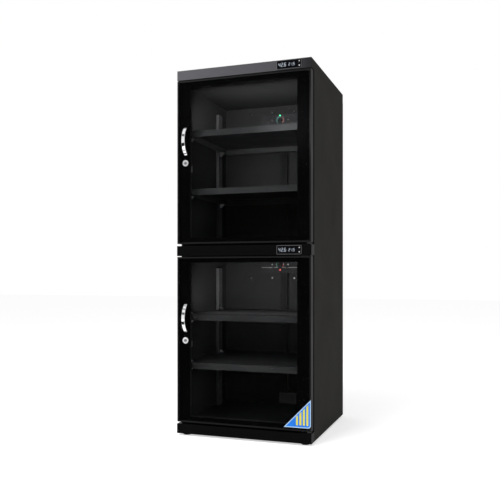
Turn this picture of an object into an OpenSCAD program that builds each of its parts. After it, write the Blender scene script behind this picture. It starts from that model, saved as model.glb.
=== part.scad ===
/* [Cabinet] */
// Width over the side panels
cab_w = 600; // [520:1:720]
// Depth from the front fascias to the back panel
body_d = 600; // [480:1:720]
// Height of the front zone that the lower door closes
lower_zone_h = 724; // [640:1:900]
// Height of the front zone that the upper door closes
upper_zone_h = 714.5; // [640:0.5:900]
// Height of the header that carries the upper display
header_h = 41; // [36:1:60]
// Height of the rail between the doors
rail_h = 43; // [36:1:60]
// Height of the plinth under the lower door
base_h = 41; // [30:1:60]
// Depth of the fascias in front of the body
fascia_d = 45; // [42:1:60]
// Thickness of the sheet steel
sheet_t = 1.2; // [0.8:0.1:2]
// Depth of the closed space between the inner and the outer back
plenum_d = 45; // [36:1:60]
// Radius of the upright corners of the top cover
corner_r = 3; // [2.5:0.5:6]

/* [Doors] */
// Gap between a door and the fascia above it
door_gap_top = 4; // [3.5:0.5:8]
// Gap between a door and the fascia below it
door_gap_bottom = 9; // [7:0.5:14]
// Distance from a door's edge to the side of the cabinet
door_gap_side = 1.5; // [0.5:0.5:4]
// Depth of the door frame
door_t = 32; // [28:0.5:34]
// Width of the side members of the door frame
stile_w = 53; // [50:1:70]
// Height of the top and bottom members of the door frame
cross_h = 25; // [24:1:50]
// Width of the metal lip round the glass
rim_w = 6.5; // [5:0.5:7]
// Thickness of the glass
glass_t = 5; // [3:0.5:6]
// Width of the rubber seal
seal_w = 10; // [8:0.5:12]
// Distance from the door's top and bottom edges to the seal
seal_end_in = 8; // [6:0.5:10]

/* [Hinges] */
// Distance from the door's hinged edge to the pivot
pivot_in = 12.5; // [11:0.5:14]
// Distance from the front plane to the pivot
pivot_back = 14; // [13:0.5:18]
// Radius of the pivot pins
pin_r = 4; // [3:0.25:5]
// Length of a pivot pin inside its bush
pin_l = 15; // [10:1:18]
// Thickness of a hinge plate
hinge_plate_t = 2.6; // [2:0.1:3]

/* [Handle and lock] */
// Length of the bow handle
handle_l = 121; // [100:1:150]
// Distance that the handle stands in front of the glass
handle_proud = 28; // [22:1:36]
// Width of the handle's band
handle_w = 15; // [12:0.5:17]
// Thickness of the handle's band
handle_t = 5; // [4:0.5:7]
// Height of the handle's middle above the lock
handle_rise = 95.5; // [90:0.5:160]
// Distance of the lock below the door's middle
lock_drop = 3.8; // [0:0.1:60]
// Radius of the lock's face
lock_face_r = 13.5; // [12:0.5:14]
// Radius of the lock's barrel
barrel_r = 9.5; // [8.5:0.25:10]
// Radius of the lock's turning plug
plug_r = 6.2; // [5:0.1:6.5]
// Length of the lock's cam from its axis
cam_l = 32; // [26:1:36]

/* [Displays] */
// Width of a display bezel
bezel_w = 106; // [100:1:130]
// Distance from the cabinet's side to the display's middle
display_in = 94; // [85:1:200]
// Distance that a bezel stands in front of its fascia
bezel_proud = 2.5; // [1.5:0.5:4]
// Travel of a display button
button_travel = 1.2; // [0.5:0.1:1.5]

/* [Shelves] */
// Height of a shelf's folded edge
shelf_h = 27; // [20:1:34]
// Depth of a shelf from front to back
shelf_d = 462; // [440:1:480]
// Distance from the body's front face to a shelf
shelf_front_in = 14; // [10:1:18]
// Depth of an upright's section
upright_p = 14; // [10:1:18]
// Width of an upright's face
upright_w = 42; // [36:1:46]
// Distance from the body's front face to the front uprights
front_upright_in = 28; // [26:1:34]
// Distance from the body's front face to the rear uprights
rear_upright_in = 384; // [370:1:410]
// Distance from the top of a chamber to the uprights
upright_top_gap = 50; // [40:1:90]
// Spacing of the slots in an upright
slot_pitch = 21.25; // [20:0.25:24]
// Height of the lowest support place in the upper chamber
upper_first = 12.5; // [10:0.5:20]
// Height of the lowest support place in the lower chamber
lower_first = 18.5; // [10:0.5:20]
// Support places from the lowest to each shelf, top shelf first
shelf_steps = [22, 10, 20, 10]; // [8:1:24]

/* [Drying units] */
// Width of a drying unit's case
unit_w = 200; // [160:1:260]
// Depth of a drying unit's case in the chamber
unit_d = 24; // [20:1:30]
// Height of the case above the knob's axis
unit_above = 29; // [28:0.5:29.5]
// Height of the case below the knob's axis
unit_below = 41; // [38:1:60]
// Distance from the top of the upper chamber to its knob
upper_unit_drop = 75.5; // [40:0.5:90]
// Distance from the top of the lower chamber to its knob
lower_unit_drop = 31; // [30:0.5:70]
// Radius of a humidity knob
knob_r = 12.5; // [10:0.5:15]
// Depth of a humidity knob
knob_d = 10; // [8:0.5:14]
// Width of a wiring duct
duct_w = 34; // [24:1:44]
// Depth of a wiring duct
duct_d = 12; // [8:1:16]
// Distance of the duct's middle to the right of the unit's middle
duct_x = 17; // [0:1:30]

/* [Low vent] */
// Width of the low vent on the inner back
low_vent_w = 85; // [70:1:120]
// Height of the low vent
low_vent_h = 51; // [40:1:70]
// Depth of the low vent
low_vent_d = 9; // [6:1:14]

/* [Back] */
// Width of a rear vent cover
vent_w = 170; // [140:1:220]
// Height of a rear vent cover
vent_h = 80; // [60:1:110]
// Distance that a rear vent cover stands out
vent_d = 12; // [8:1:20]
// Width of the power inlet's flange
inlet_w = 50; // [46:1:60]
// Height of the power inlet's flange
inlet_h = 28; // [26:1:34]
// Distance from the cabinet's side to the power inlet
inlet_in = 90; // [50:1:150]
// Height of the power inlet above the bottom of the cabinet
inlet_z = 80; // [40:1:200]

/* [Feet] */
// Height of a foot
foot_h = 9; // [6:0.5:20]
// Radius of a foot
foot_r = 18; // [12:0.5:24]
// Distance from the cabinet's edges to a foot's middle
foot_in = 34; // [30:1:60]

/* [Hidden] */

$fn = 64;

// Colours
shell_black = [0.11, 0.11, 0.12];
frame_black = [0.07, 0.07, 0.08];
inner_grey = [0.17, 0.17, 0.18];
shelf_grey = [0.24, 0.24, 0.25];
plastic_black = [0.09, 0.09, 0.1];
rubber_black = [0.05, 0.05, 0.05];
glass_tint = [0.5, 0.55, 0.6, 0.3];
chrome_silver = [0.82, 0.83, 0.85];
zinc_silver = [0.7, 0.71, 0.73];
board_green = [0.1, 0.3, 0.2];
window_dark = [0.03, 0.04, 0.05, 0.8];
print_white = [0.8, 0.8, 0.82];

// Clearances and overruns
cut = 1;
air = 0.3;
run_fit = 0.05;
slip = 0.15;
glass_set = 0.3;

// Heights of the zones, from the floor up
lower_z0 = foot_h + base_h;
lower_z1 = lower_z0 + lower_zone_h;
upper_z0 = lower_z1 + rail_h;
upper_z1 = upper_z0 + upper_zone_h;
top_z = upper_z1 + header_h;

// Front and back planes: the origin is in the middle of the whole depth
front_y = (handle_proud - glass_set - body_d - vent_d) / 2;
back_y = front_y + body_d;
body_y = front_y + fascia_d;
liner_y = back_y - plenum_d - sheet_t;
half_w = cab_w / 2;
inner_x = half_w - sheet_t;

// Door frame, glass and seal
door_hw = half_w - door_gap_side;
glass_y = front_y + glass_set;
pane_back_y = glass_y + glass_t;
door_back_y = front_y + door_t;
frame_wall = 1.4;
glass_r = 2;
seal_swing = 2;
seal_side_in = pivot_in + seal_swing;
seal_foot_h = 3;
seal_neck_w = 4;
seal_head_h = 5;
seal_r = 3;
seal_l = body_y - door_back_y - air;
flange_cover = 4;
lip_cover = 2;
flange_w = door_gap_side + seal_side_in + seal_w + flange_cover;
lip_down = door_gap_top + seal_end_in + seal_w + lip_cover;
lip_up = door_gap_bottom + seal_end_in + seal_w + lip_cover;
rear_flange_w = 16;
side_lip = 12;

// Pivots
pivot_x = door_hw - pivot_in;
pivot_y = front_y + pivot_back;
plug_l = 22;
plate_in = 36;
plate_out = 10;
plate_front = 5;
plate_d = 34;
plate_screw_r = 2;
plate_head_r = 3.8;
plate_head_h = 1.6;
plate_screw_l = 5;
plate_screw_back = 26;
plate_screw_x = [-12, -28];
collar_r = 9;

// Lock
cam_w = 14;
cam_t = 2.2;
cam_pass = 4;
cam_gap = 1.6;
cam_boss_r = 8.5;
cam_y = body_y + sheet_t + cam_gap;
barrel_fit = 0.2;
face_t = 2.4;
face_edge = 1;
face_step = 1.2;
barrel_end_y = cam_y - air;
nut_r = 12.6;
nut_t = 4;
tail_r = 4;
cam_screw_r = 5.4;
cam_screw_h = 2.4;
keyway_w = 1.6;
keyway_h = 8.6;
keyway_depth = 7;
plug_proud = 0.5;
lock_x = -(half_w - flange_w - cam_w / 2 - cam_pass);

// Handle
bow_r = handle_l * handle_l / (8 * handle_proud) + handle_proud / 2;
band_edge_r = 2;
foot_pad_l = 15;
foot_pad_end = 3;
foot_pad_in = 1;
handle_screw_r = 2;
handle_screw_in = 11;
handle_screw_bite = 5;
handle_head_r = 4;
handle_head_h = 2.2;

// Displays
bezel_edge = 2;
bezel_h = min(header_h, rail_h) - 2 * bezel_edge;
bezel_r = 4;
bezel_fit = 0.2;
bezel_lap = 2;
bezel_back = 8;
bezel_wall = 2;
window_t = 1.5;
window_w = 84;
window_r = 2;
window_margin = 5.5;
window_x = -6;
window_h = bezel_h - 2 * window_margin;
window_ledge = 1.5;
window_set = 0.4;
button_x = 44;
button_w = 7;
button_h = 7.5;
button_r = 1.6;
button_proud = 1;
button_flange = 1;
button_rise = bezel_h / 2 - bezel_lap - bezel_wall - button_flange - button_h / 2 - air;
button_flange_t = 1;
button_stem = 3;
display_x = half_w - display_in;
board_t = 1.6;
lcd_gap = 0.6;
header_mid = upper_z1 + header_h / 2;
rail_mid = lower_z1 + rail_h / 2;

// Uprights, clips and shelves
upright_t = 1.2;
slot_w = 11;
slot_h = 6;
slot_fit = 0.5;
hook_rise = 9;
clip_w = 16;
clip_t = 1.5;
clip_above = 9;
clip_below = 18;
clip_tongue = 18;
clip_ear = 13;
clip_ear_h = 9;
hook_l = 4;
hook_drop = 3;
shelf_t = 1;
shelf_hem = 9;
shelf_corner_r = 3;
upright_x = inner_x - upright_p;
clip_x = upright_x - clip_t;
shelf_hw = clip_x - air;
front_upright_y = body_y + front_upright_in;
rear_upright_y = body_y + rear_upright_in;
upper_upright_top = upper_z1 - upright_top_gap;
lower_upright_top = lower_z1 - upright_top_gap;
upper_shelf_z0 = upper_z0 + upper_first;
lower_shelf_z0 = lower_z0 + lower_first;
shelf_z = [
    upper_shelf_z0 + shelf_steps[0] * slot_pitch,
    upper_shelf_z0 + shelf_steps[1] * slot_pitch,
    lower_shelf_z0 + shelf_steps[2] * slot_pitch,
    lower_shelf_z0 + shelf_steps[3] * slot_pitch
];

// Drying units
case_r = 6;
case_wall = 2.4;
knob_air = 0.4;
knob_shaft_r = 3;
knob_shaft_l = 9;
knob_boss_r = 7;
knob_boss_l = 6;
knob_flutes = 14;
flute_r = 1.3;
knob_skirt_h = 2.5;
knob_skirt = 1.5;
pointer_w = 1.6;
pointer_l = 8;
pointer_d = 0.8;
led_r = 2.6;
led_proud = 1.4;
led_l = 6;
led_flange = 0.4;
green_rise = unit_above - case_wall - led_r - led_flange - air;
red_drop = 27;
bead_drop = 15;
bead_h = 2.2;
bead_proud = 1;
bead_shares = [[-0.48, -0.2], [-0.15, -0.05], [0.05, 0.15], [0.2, 0.48]];
intake_w = 5;
intake_gap = 5;
intake_l = 12;
intake_count = 12;
unit_screw_x = 41;
unit_screw_r = 1.8;
unit_head_r = 3.2;
unit_head_h = 1.4;
unit_screw_boss = 4;
upper_knob_z = upper_z1 - upper_unit_drop;
lower_knob_z = lower_z1 - lower_unit_drop;
unit_y = liner_y - unit_d;
box_edge = 12;
box_r = 3;
box_rib_t = 3;
box_rib_d = 3;
box_ribs = 9;
duct_t = 1;
duct_flange = 6;

// Low vent
low_vent_rise = 6;
low_vent_x = 33.5;
low_vent_r = 3;
low_vent_inner_r = 1.5;
low_vent_wall = 2;
low_slot_w = 5;
low_slot_gap = 6;
low_slot_end = 9;

// Back
vent_wall = 2;
vent_r = 5;
louvre_h = 4;
slot_round_share = 0.4;
louvre_pitch = 9;
louvre_end = 14;
vent_lap = 8;
inlet_r = 3;
inlet_inner_r = 2;
inlet_flange_t = 2.5;
inlet_lap = 4;
inlet_body_l = 20;
inlet_wall = 3;
inlet_depth = 16;
prong_w = 2;
prong_h = 5;
prong_l = 11;
prong_gap = 10;
prong_rise = 2.5;
inlet_fit = 0.2;

// Fasteners of the body
screw_r = 2;
screw_l = 6;
screw_head_r = 3.8;
screw_head_h = 1.6;
screw_fit = 0.15;
drive_r = 1.5;
drive_d = 0.9;
back_screw_in = 9;
back_screw_end = 40;
back_screw_rows = 7;
liner_screw_x = [-161, -48, 66, 179];
upper_screw_rise = 45;
lower_screw_drop = 67;

// Feet
foot_chamfer = 1.5;
foot_stud_r = 4;
foot_stud_l = 8;
foot_stud_fit = 0.15;

// A box between two corners
module block(lo, hi) {
    translate(lo) cube(hi - lo);
}

module rounded_rect(w, h, r) {
    square([w, h - 2 * r], center = true);
    square([w - 2 * r, h], center = true);
    for (sx = [-1, 1], sy = [-1, 1])
        translate([sx * (w / 2 - r), sy * (h / 2 - r)]) circle(r);
}

// A flat outline stood up to face the front, from y = 0 back to y = d
module facing(d) {
    translate([0, d, 0]) rotate([90, 0, 0]) linear_extrude(d) children();
}

module rod_y(r, l) {
    rotate([-90, 0, 0]) cylinder(r = r, h = l);
}

// A pan-head screw whose head looks towards the front and whose shank runs back
module screw_back(head_r, head_h, shank_r, shank_l) {
    difference() {
        translate([0, -head_h, 0]) rod_y(head_r, head_h);
        translate([0, -head_h - cut, 0]) rod_y(drive_r, drive_d + cut, $fn = 6);
    }
    rod_y(shank_r, shank_l);
}

module at_both_sides() {
    children();
    mirror([1, 0, 0]) children();
}

// Cabinet body

module display_hole(z) {
    w = bezel_w - 2 * bezel_lap + 2 * bezel_fit;
    h = bezel_h - 2 * bezel_lap + 2 * bezel_fit;
    translate([display_x, front_y - cut, z]) facing(sheet_t + 2 * cut) rounded_rect(w, h, window_r);
}

module plate_holes(z) {
    for (x = plate_screw_x)
        translate([pivot_x + x, front_y + plate_screw_back, z - cut])
            cylinder(r = plate_screw_r + screw_fit, h = sheet_t + 2 * cut);
}

module tray_slab(w, d, h, r, y, z) {
    translate([0, y + d / 2, z]) linear_extrude(h) rounded_rect(w, d, r);
}

module top_cover() color(shell_black) {
    difference() {
        tray_slab(cab_w, body_d, header_h, corner_r, front_y, upper_z1);
        tray_slab(
            cab_w - 2 * sheet_t, body_d - 2 * sheet_t, header_h, corner_r - sheet_t,
            front_y + sheet_t, upper_z1 - sheet_t
        );
        display_hole(header_mid);
    }
    difference() {
        block([-inner_x, front_y + sheet_t, upper_z1], [inner_x, body_y, upper_z1 + sheet_t]);
        plate_holes(upper_z1);
    }
}

module panel_sheet(z) {
    block([-inner_x, body_y + sheet_t, z], [inner_x, liner_y + sheet_t, z + sheet_t]);
}

module panel_side_lips(z0, z1) {
    at_both_sides()
        block([inner_x - sheet_t, body_y + sheet_t, z0], [inner_x, liner_y + sheet_t, z1]);
}

module panel_front_lip(z0, z1) {
    block([flange_w - half_w, body_y, z0], [half_w - flange_w, body_y + sheet_t, z1]);
}

module ceiling_panel() color(inner_grey) {
    panel_sheet(upper_z1);
    panel_side_lips(upper_z1, upper_z1 + side_lip);
    panel_front_lip(upper_z1 - lip_down, upper_z1 + sheet_t);
}

module upper_floor_panel() color(inner_grey) {
    panel_sheet(upper_z0 - sheet_t);
    panel_side_lips(upper_z0 - side_lip, upper_z0);
    panel_front_lip(upper_z0 - sheet_t, upper_z0 + lip_up);
}

module lower_ceiling_panel() color(inner_grey) {
    panel_sheet(lower_z1);
    panel_side_lips(lower_z1, lower_z1 + side_lip);
    panel_front_lip(lower_z1 - lip_down, lower_z1 + sheet_t);
}

module floor_panel() color(inner_grey) {
    panel_sheet(lower_z0 - sheet_t);
    panel_side_lips(lower_z0 - side_lip, lower_z0);
    panel_front_lip(lower_z0 - sheet_t, lower_z0 + lip_up);
}

module side_section() {
    translate([inner_x, body_y]) square([sheet_t, back_y - sheet_t - body_y]);
    translate([half_w - flange_w, body_y]) square([flange_w, sheet_t]);
    translate([half_w - rear_flange_w, back_y - 2 * sheet_t]) square([rear_flange_w, sheet_t]);
}

module back_screw_z_list() {
    for (i = [0 : back_screw_rows - 1]) {
        span = upper_z1 - foot_h - 2 * back_screw_end;
        translate([half_w - back_screw_in, 0, foot_h + back_screw_end + span * i / (back_screw_rows - 1)])
            children();
    }
}

module side_panel() {
    difference() {
        translate([0, 0, foot_h + sheet_t]) linear_extrude(upper_z1 - foot_h - sheet_t) side_section();
        back_screw_z_list()
            translate([0, back_y - 2 * sheet_t - cut, 0]) rod_y(screw_r + screw_fit, sheet_t + 2 * cut);
    }
}

module side_panel_right() color(shell_black) side_panel();

module side_panel_left() color(shell_black) mirror([1, 0, 0]) side_panel();

// A fascia box, closed at its ends and open to the body
module fascia_box(z0, z1) {
    difference() {
        block([-half_w, front_y, z0], [half_w, body_y, z1]);
        block(
            [-inner_x, front_y + sheet_t, z0 + sheet_t],
            [inner_x, body_y + cut, z1 - sheet_t]
        );
    }
}

module middle_rail() color(shell_black) {
    difference() {
        fascia_box(lower_z1, upper_z0);
        display_hole(rail_mid);
        plate_holes(lower_z1);
        plate_holes(upper_z0 - sheet_t);
    }
}

module foot_places() {
    for (sx = [-1, 1], y = [front_y + foot_in, back_y - foot_in])
        translate([sx * (half_w - foot_in), y, 0]) children();
}

module base_plinth() color(shell_black) {
    difference() {
        union() {
            fascia_box(foot_h, lower_z0);
            block([-half_w, body_y, foot_h], [half_w, back_y, foot_h + sheet_t]);
        }
        plate_holes(lower_z0 - sheet_t);
        foot_places()
            translate([0, 0, foot_h - cut]) cylinder(r = foot_stud_r + foot_stud_fit, h = sheet_t + 2 * cut);
    }
}

module liner_sheet(z0, z1, knob_z, screw_z) {
    difference() {
        block([-inner_x, liner_y, z0], [inner_x, liner_y + sheet_t, z1]);
        translate([0, liner_y - cut, knob_z + (unit_above - unit_below) / 2])
            facing(sheet_t + 2 * cut)
                rounded_rect(unit_w - 2 * box_edge, unit_above + unit_below - 2 * box_edge, box_r);
        for (x = liner_screw_x)
            translate([x, liner_y - cut, screw_z]) rod_y(screw_r + screw_fit, sheet_t + 2 * cut);
    }
}

module back_liner_upper() color(inner_grey)
    liner_sheet(upper_z0, upper_z1, upper_knob_z, upper_knob_z + upper_screw_rise);

module back_liner_lower() color(inner_grey)
    liner_sheet(lower_z0, lower_z1, lower_knob_z, lower_knob_z - lower_screw_drop);

module back_panel() color(shell_black) {
    difference() {
        block([-half_w, back_y - sheet_t, foot_h + sheet_t], [half_w, back_y, upper_z1]);
        for (z = [lower_knob_z, upper_knob_z])
            translate([0, back_y - sheet_t - cut, z])
                facing(sheet_t + 2 * cut) rounded_rect(vent_w - 2 * vent_lap, vent_h - 2 * vent_lap, vent_r);
        at_both_sides() back_screw_z_list()
            translate([0, back_y - sheet_t - cut, 0]) rod_y(screw_r + screw_fit, sheet_t + 2 * cut);
        translate([half_w - inlet_in, back_y - sheet_t - cut, foot_h + inlet_z])
            facing(sheet_t + 2 * cut)
                rounded_rect(
                    inlet_w - 2 * inlet_lap + 2 * inlet_fit,
                    inlet_h - 2 * inlet_lap + 2 * inlet_fit, box_r
                );
    }
}

module rear_vent() {
    louvres = floor((vent_h - 2 * vent_lap) / louvre_pitch);
    difference() {
        facing(vent_d) rounded_rect(vent_w, vent_h, vent_r);
        translate([0, -cut, 0])
            facing(vent_d - vent_wall + cut)
                rounded_rect(vent_w - 2 * vent_wall, vent_h - 2 * vent_wall, vent_r - vent_wall);
        for (i = [0 : louvres - 1])
            translate([0, vent_d - vent_wall - cut, (i - (louvres - 1) / 2) * louvre_pitch])
                facing(vent_wall + 2 * cut)
                    rounded_rect(vent_w - 2 * louvre_end, louvre_h, louvre_h * slot_round_share);
    }
}

module rear_vents() color(plastic_black) {
    for (z = [lower_knob_z, upper_knob_z])
        translate([0, back_y, z]) rear_vent();
}

// The power inlet's origin is the middle of its flange on the back panel
module power_inlet() color(plastic_black) {
    w = inlet_w - 2 * inlet_lap;
    h = inlet_h - 2 * inlet_lap;
    translate([half_w - inlet_in, back_y, foot_h + inlet_z])
        difference() {
            union() {
                facing(inlet_flange_t) rounded_rect(inlet_w, inlet_h, inlet_r);
                translate([0, -inlet_body_l, 0]) facing(inlet_body_l) rounded_rect(w, h, inlet_r);
            }
            translate([0, inlet_flange_t - inlet_depth, 0])
                facing(inlet_depth + cut)
                    rounded_rect(w - 2 * inlet_wall, h - 2 * inlet_wall, inlet_inner_r);
        }
}

module inlet_prongs() color(zinc_silver) {
    for (i = [-1 : 1])
        translate([
            half_w - inlet_in + i * prong_gap,
            back_y + inlet_flange_t - inlet_depth,
            foot_h + inlet_z + (i == 0 ? prong_rise : -prong_rise)
        ])
            block([-prong_w / 2, 0, -prong_h / 2], [prong_w / 2, prong_l, prong_h / 2]);
}

// Chamber fittings

// An upright on the right wall, standing on z0
module upright(y, z0, z1, first) {
    slots = floor((z1 - z0 - first - hook_rise - slot_h) / slot_pitch);
    translate([upright_x, y, z0]) difference() {
        cube([upright_p, upright_w, z1 - z0]);
        translate([upright_t, upright_t, -cut])
            cube([upright_p, upright_w - 2 * upright_t, z1 - z0 + 2 * cut]);
        for (i = [0 : slots])
            translate([-cut, (upright_w - slot_w) / 2, first + hook_rise - slot_h / 2 + i * slot_pitch])
                cube([upright_t + 2 * cut, slot_w, slot_h]);
    }
}

module uprights() color(inner_grey) {
    at_both_sides()
        for (y = [front_upright_y, rear_upright_y]) {
            upright(y, lower_z0, lower_upright_top, lower_first);
            upright(y, upper_z0, upper_upright_top, upper_first);
        }
}

// A web of sheet across a clip, from the plate at x = 0 to w inwards
module clip_web(w, h) {
    translate([0, clip_t / 2, 0]) rotate([90, 0, 0]) linear_extrude(clip_t)
        polygon([[0, 0], [-w, 0], [0, h]]);
}

// A clip on a right-hand upright, hooked into two slots; its tongue's top is at z = 0
module shelf_clip() {
    half = clip_w / 2;
    plate_x = upright_x - clip_t;
    ear_z = shelf_h + air;
    tab = (slot_w - 2 * slot_fit) / 2;
    tab_h = slot_h - 2 * slot_fit - hook_drop / 2;
    block([plate_x, -half, -clip_below], [upright_x, half, hook_rise + slot_pitch + clip_above]);
    block([plate_x - clip_tongue, -half, -clip_t], [upright_x, half, 0]);
    block([plate_x - clip_ear, -half, ear_z], [upright_x, half, ear_z + clip_t]);
    for (s = [-1, 1])
        translate([plate_x, s * (half - clip_t / 2), 0]) {
            translate([0, 0, -clip_t]) clip_web(clip_tongue, clip_t - clip_below);
            translate([0, 0, ear_z + clip_t]) clip_web(clip_ear, clip_ear_h);
        }
    for (i = [0, 1])
        translate([0, 0, hook_rise + i * slot_pitch]) {
            block([plate_x, -tab, -tab_h / 2], [upright_x + hook_l, tab, tab_h / 2]);
            block(
                [upright_x + upright_t + air, -tab, -tab_h / 2 - hook_drop],
                [upright_x + hook_l, tab, tab_h / 2]
            );
        }
}

module shelf_clips() color(zinc_silver) {
    at_both_sides()
        for (z = shelf_z, y = [front_upright_y, rear_upright_y])
            translate([0, y + upright_w / 2, z]) shelf_clip();
}

module shelf(z) {
    y0 = body_y + shelf_front_in;
    w = 2 * shelf_hw;
    translate([0, 0, z]) difference() {
        tray_slab(w, shelf_d, shelf_h, shelf_corner_r, y0, 0);
        tray_slab(
            w - 2 * shelf_t, shelf_d - 2 * shelf_t, shelf_h, shelf_corner_r - shelf_t,
            y0 + shelf_t, -shelf_t
        );
    }
    hem_w = shelf_hw - shelf_corner_r;
    block([-hem_w, y0, z], [hem_w, y0 + shelf_hem, z + shelf_t]);
    block([-hem_w, y0 + shelf_d - shelf_hem, z], [hem_w, y0 + shelf_d, z + shelf_t]);
}

module shelf_1() color(shelf_grey) shelf(shelf_z[0]);

module shelf_2() color(shelf_grey) shelf(shelf_z[1]);

module shelf_3() color(shelf_grey) shelf(shelf_z[2]);

module shelf_4() color(shelf_grey) shelf(shelf_z[3]);

module wiring_duct(z0, z1) {
    translate([duct_x, 0, z0]) {
        difference() {
            block([-duct_w / 2, liner_y - duct_d, 0], [duct_w / 2, liner_y, z1 - z0]);
            block(
                [-duct_w / 2 + duct_t, liner_y - duct_d + duct_t, -cut],
                [duct_w / 2 - duct_t, liner_y + cut, z1 - z0 + cut]
            );
        }
        for (s = [-1, 1])
            translate([s * (duct_w + duct_flange) / 2, 0, 0])
                block([-duct_flange / 2, liner_y - duct_t, 0], [duct_flange / 2, liner_y, z1 - z0]);
    }
}

module wiring_ducts() color(inner_grey) {
    wiring_duct(lower_z0 + low_vent_rise + low_vent_h, lower_knob_z - unit_below);
    wiring_duct(upper_z0, upper_knob_z - unit_below);
}

module low_vent() color(plastic_black) {
    pitch = low_slot_w + low_slot_gap;
    slots = floor((low_vent_w - 2 * low_vent_wall - low_slot_gap) / pitch);
    translate([low_vent_x, liner_y - low_vent_d, lower_z0 + low_vent_rise + low_vent_h / 2])
        difference() {
            facing(low_vent_d) rounded_rect(low_vent_w, low_vent_h, low_vent_r);
            translate([0, low_vent_wall, 0])
                facing(low_vent_d)
                    rounded_rect(
                        low_vent_w - 2 * low_vent_wall,
                        low_vent_h - 2 * low_vent_wall, low_vent_inner_r
                    );
            for (i = [0 : slots - 1])
                translate([(i - (slots - 1) / 2) * pitch, -cut, 0])
                    facing(low_vent_wall + 2 * cut)
                        rounded_rect(
                            low_slot_w, low_vent_h - 2 * low_slot_end, low_slot_w * slot_round_share
                        );
        }
}

// Drying units: the place of the knob's axis on the case front is the origin
module unit_case() {
    h = unit_above + unit_below;
    mid = (unit_above - unit_below) / 2;
    difference() {
        union() {
            translate([0, 0, mid]) difference() {
                facing(unit_d) rounded_rect(unit_w, h, case_r);
                translate([0, case_wall, 0])
                    facing(unit_d)
                        rounded_rect(unit_w - 2 * case_wall, h - 2 * case_wall, case_r - case_wall);
            }
            rod_y(knob_boss_r, knob_boss_l);
            for (s = [-1, 1])
                translate([s * unit_screw_x, 0, 0]) rod_y(unit_screw_boss, unit_d);
            for (b = bead_shares)
                translate([0, 0, -bead_drop])
                    block([b[0] * unit_w, -bead_proud, -bead_h / 2], [b[1] * unit_w, case_wall, bead_h / 2]);
        }
        translate([0, -cut, 0]) rod_y(knob_shaft_r + run_fit, unit_d);
        for (z = [green_rise, -red_drop])
            translate([0, -cut, z]) rod_y(led_r + slip, case_wall + 2 * cut);
        for (s = [-1, 1])
            translate([s * unit_screw_x, -cut, 0]) rod_y(unit_screw_r + screw_fit, unit_d + 2 * cut);
        for (i = [0 : intake_count - 1])
            translate([(i - (intake_count - 1) / 2) * (intake_w + intake_gap), unit_d / 2, -unit_below])
                block(
                    [-intake_w / 2, -intake_l / 2, -cut],
                    [intake_w / 2, intake_l / 2, case_wall + cut]
                );
    }
}

module unit_case_upper() color(plastic_black) translate([0, unit_y, upper_knob_z]) unit_case();

module unit_case_lower() color(plastic_black) translate([0, unit_y, lower_knob_z]) unit_case();

// The desiccant box behind a unit fills the back space up to the back panel
module desiccant_box() {
    w = unit_w - 2 * box_edge - 2 * slip;
    h = unit_above + unit_below - 2 * box_edge - 2 * slip;
    l = back_y - sheet_t - liner_y;
    pitch = w / box_ribs;
    difference() {
        facing(l) rounded_rect(w, h, box_r);
        for (i = [0 : box_ribs - 1])
            translate([(i - (box_ribs - 1) / 2) * pitch, 0, 0])
                facing(box_rib_d) rounded_rect(pitch - box_rib_t, h - 2 * box_rib_t, box_r);
    }
}

module desiccant_boxes() color(print_white) {
    for (z = [lower_knob_z, upper_knob_z])
        translate([0, liner_y, z + (unit_above - unit_below) / 2]) desiccant_box();
}

module unit_knob() {
    translate([0, -knob_air, 0]) {
        difference() {
            union() {
                translate([0, -knob_d, 0]) rod_y(knob_r - knob_skirt, knob_d);
                translate([0, -knob_skirt_h, 0]) rod_y(knob_r, knob_skirt_h);
            }
            for (i = [0 : knob_flutes - 1])
                rotate([0, 360 * i / knob_flutes, 0])
                    translate([knob_r - knob_skirt, -knob_d - cut, 0])
                        rod_y(flute_r, knob_d - knob_skirt_h + cut);
            block(
                [-pointer_w / 2, -knob_d - cut, knob_r - knob_skirt - pointer_l],
                [pointer_w / 2, pointer_d - knob_d, knob_r]
            );
        }
        rod_y(knob_shaft_r, knob_shaft_l);
    }
}

module unit_knob_upper() color(plastic_black) translate([0, unit_y, upper_knob_z]) unit_knob();

module unit_knob_lower() color(plastic_black) translate([0, unit_y, lower_knob_z]) unit_knob();

module led_lens() {
    translate([0, -led_proud, 0]) rod_y(led_r, led_l);
    translate([0, case_wall, 0]) rod_y(led_r + led_flange, led_l - led_proud - case_wall);
}

module leds_green() color("lime")
    for (z = [lower_knob_z, upper_knob_z])
        translate([0, unit_y, z + green_rise]) led_lens();

module leds_red() color("red")
    for (z = [lower_knob_z, upper_knob_z])
        translate([0, unit_y, z - red_drop]) led_lens();

// Displays: the middle of the bezel on the fascia's front is the origin
module button_places() {
    for (s = [-1, 1]) translate([button_x, 0, s * button_rise]) children();
}

module display_bezel() {
    w = bezel_w - 2 * bezel_lap;
    h = bezel_h - 2 * bezel_lap;
    difference() {
        union() {
            translate([0, -bezel_proud, 0]) facing(bezel_proud) rounded_rect(bezel_w, bezel_h, bezel_r);
            facing(bezel_back) rounded_rect(w, h, window_r);
        }
        translate([0, bezel_wall, 0])
            facing(bezel_back) rounded_rect(w - 2 * bezel_wall, h - 2 * bezel_wall, window_r);
        translate([window_x, window_set - bezel_proud, 0]) {
            translate([0, -window_set - cut, 0])
                facing(window_t + window_set + cut) rounded_rect(window_w, window_h, window_r);
            facing(bezel_back)
                rounded_rect(window_w - 2 * window_ledge, window_h - 2 * window_ledge, window_r);
        }
        translate([0, -bezel_proud - cut, 0]) button_places()
            facing(bezel_proud + bezel_wall + 2 * cut)
                rounded_rect(button_w + 2 * air, button_h + 2 * air, button_r + air);
    }
}

module display_bezel_upper() color(plastic_black) translate([display_x, front_y, header_mid]) display_bezel();

module display_bezel_lower() color(plastic_black) translate([display_x, front_y, rail_mid]) display_bezel();

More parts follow.
